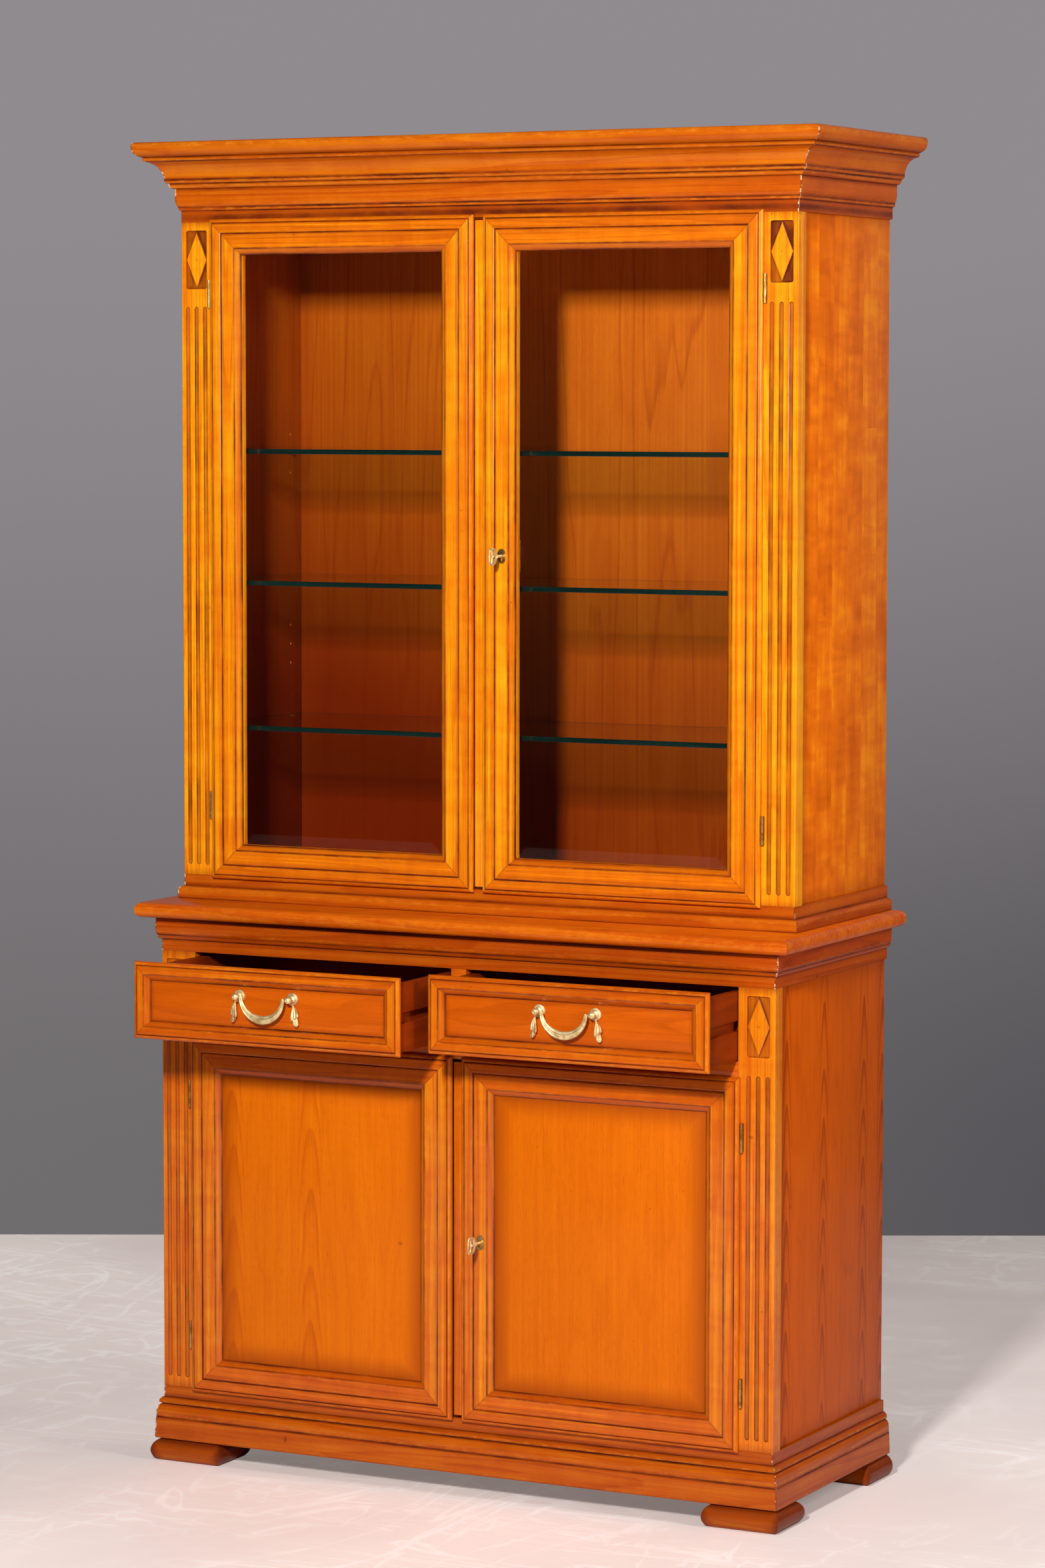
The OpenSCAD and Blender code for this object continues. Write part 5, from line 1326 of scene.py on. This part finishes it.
def wallMaterial():
    material, tree = freshMaterial("greyWall")
    place = objectPlace(tree)
    parts = split(tree, place)
    # painted light: the wall glows for the camera, lighter high up and to the left, with soft blots
    rise = remap(tree, parts[2], 0.0, 2.3)
    blot = cloud(tree, place, (0.7, 0.7, 0.7), 2.0)
    rise = plus(tree, rise, scaleAdd(tree, blot, 0.16, -0.08), clamp=True)
    low = blendColour(tree, remap(tree, parts[0], -1.8, 0.5), paint(*room["wallLeft"]),
                      paint(*room["wallLow"]))
    colour = blendColour(tree, rise, low, paint(*room["wallHigh"]))
    seen = put(tree, "ShaderNodeEmission", {0: colour, 1: 1.0})
    matt = put(tree, "ShaderNodeBsdfDiffuse", {0: colour})
    clear = put(tree, "ShaderNodeBsdfTransparent")
    rays = put(tree, "ShaderNodeLightPath")
    mixed = put(tree, "ShaderNodeMixShader", {0: rays.outputs["Is Camera Ray"], 1: matt.outputs[0],
                                              2: seen.outputs[0]})
    back = put(tree, "ShaderNodeNewGeometry").outputs["Backfacing"]
    mixed = put(tree, "ShaderNodeMixShader", {0: back, 1: mixed.outputs[0], 2: clear.outputs[0]})
    put(tree, "ShaderNodeOutputMaterial", {0: mixed.outputs[0]})
    return material


yaw = math.radians(camera["yaw"])
away, aside = Vector((-math.sin(yaw), math.cos(yaw), 0)), Vector((math.cos(yaw), math.sin(yaw), 0))
stagePlane("floor", [(x * room["side"], room[y], 0) for x, y in (
    (-1, "front"), (1, "front"), (1, "rear"), (-1, "rear"))], floorMaterial())
foot, reach, rise = away * room["behind"], aside * room["wallHalf"], Vector((0, 0, room["wallTall"]))
stagePlane("wall", [foot - reach, foot + reach, foot + reach + rise, foot - reach + rise], wallMaterial())

lamps = {
    "key": {"from": (16, 20), "far": 5.0, "size": (0.38, 0.5), "power": 265, "aim": 1.15},
    "fill": {"from": (-35, 20), "far": 5.5, "size": (2.4, 2.4), "power": 4, "aim": 1.0, "mirrored": False},
    "side": {"from": (84, 18), "far": 4.5, "size": (0.9, 2.2), "power": 94, "aim": 1.2},
}


def hang(name, lamp):
    data = bpy.data.lights.new(name, "AREA")
    data.shape, data.size, data.size_y = "RECTANGLE", lamp["size"][0], lamp["size"][1]
    data.energy = lamp["power"]
    obj = addObject(name, data)
    obj.visible_glossy = obj.visible_transmission = lamp.get("mirrored", True)
    a, e = (math.radians(v) for v in lamp["from"])
    out = Vector((math.sin(a) * math.cos(e), -math.cos(a) * math.cos(e), math.sin(e)))
    aim = Vector((0, 0, lamp["aim"]))
    turn = out.to_track_quat("Z", "Y").to_matrix().to_4x4()
    obj.matrix_world = Matrix.Translation(aim + out * lamp["far"]) @ turn


for name, lamp in lamps.items():
    hang(name, lamp)

sky = bpy.data.worlds.new("softRoom")
sky.use_nodes = True
sky.node_tree.nodes.clear()
mirrored = put(sky.node_tree, "ShaderNodeLightPath").outputs["Is Glossy Ray"]
level = calc(sky.node_tree, "MULTIPLY_ADD", mirrored, room["skyMirrored"], room["skyLevel"])
glow = put(sky.node_tree, "ShaderNodeBackground", {0: paint(*room["sky"]), 1: level})
put(sky.node_tree, "ShaderNodeOutputWorld", {0: glow.outputs[0]})
bpy.context.scene.world = sky
bpy.context.scene.view_settings.view_transform = "Standard"
print("stage and lamps set")
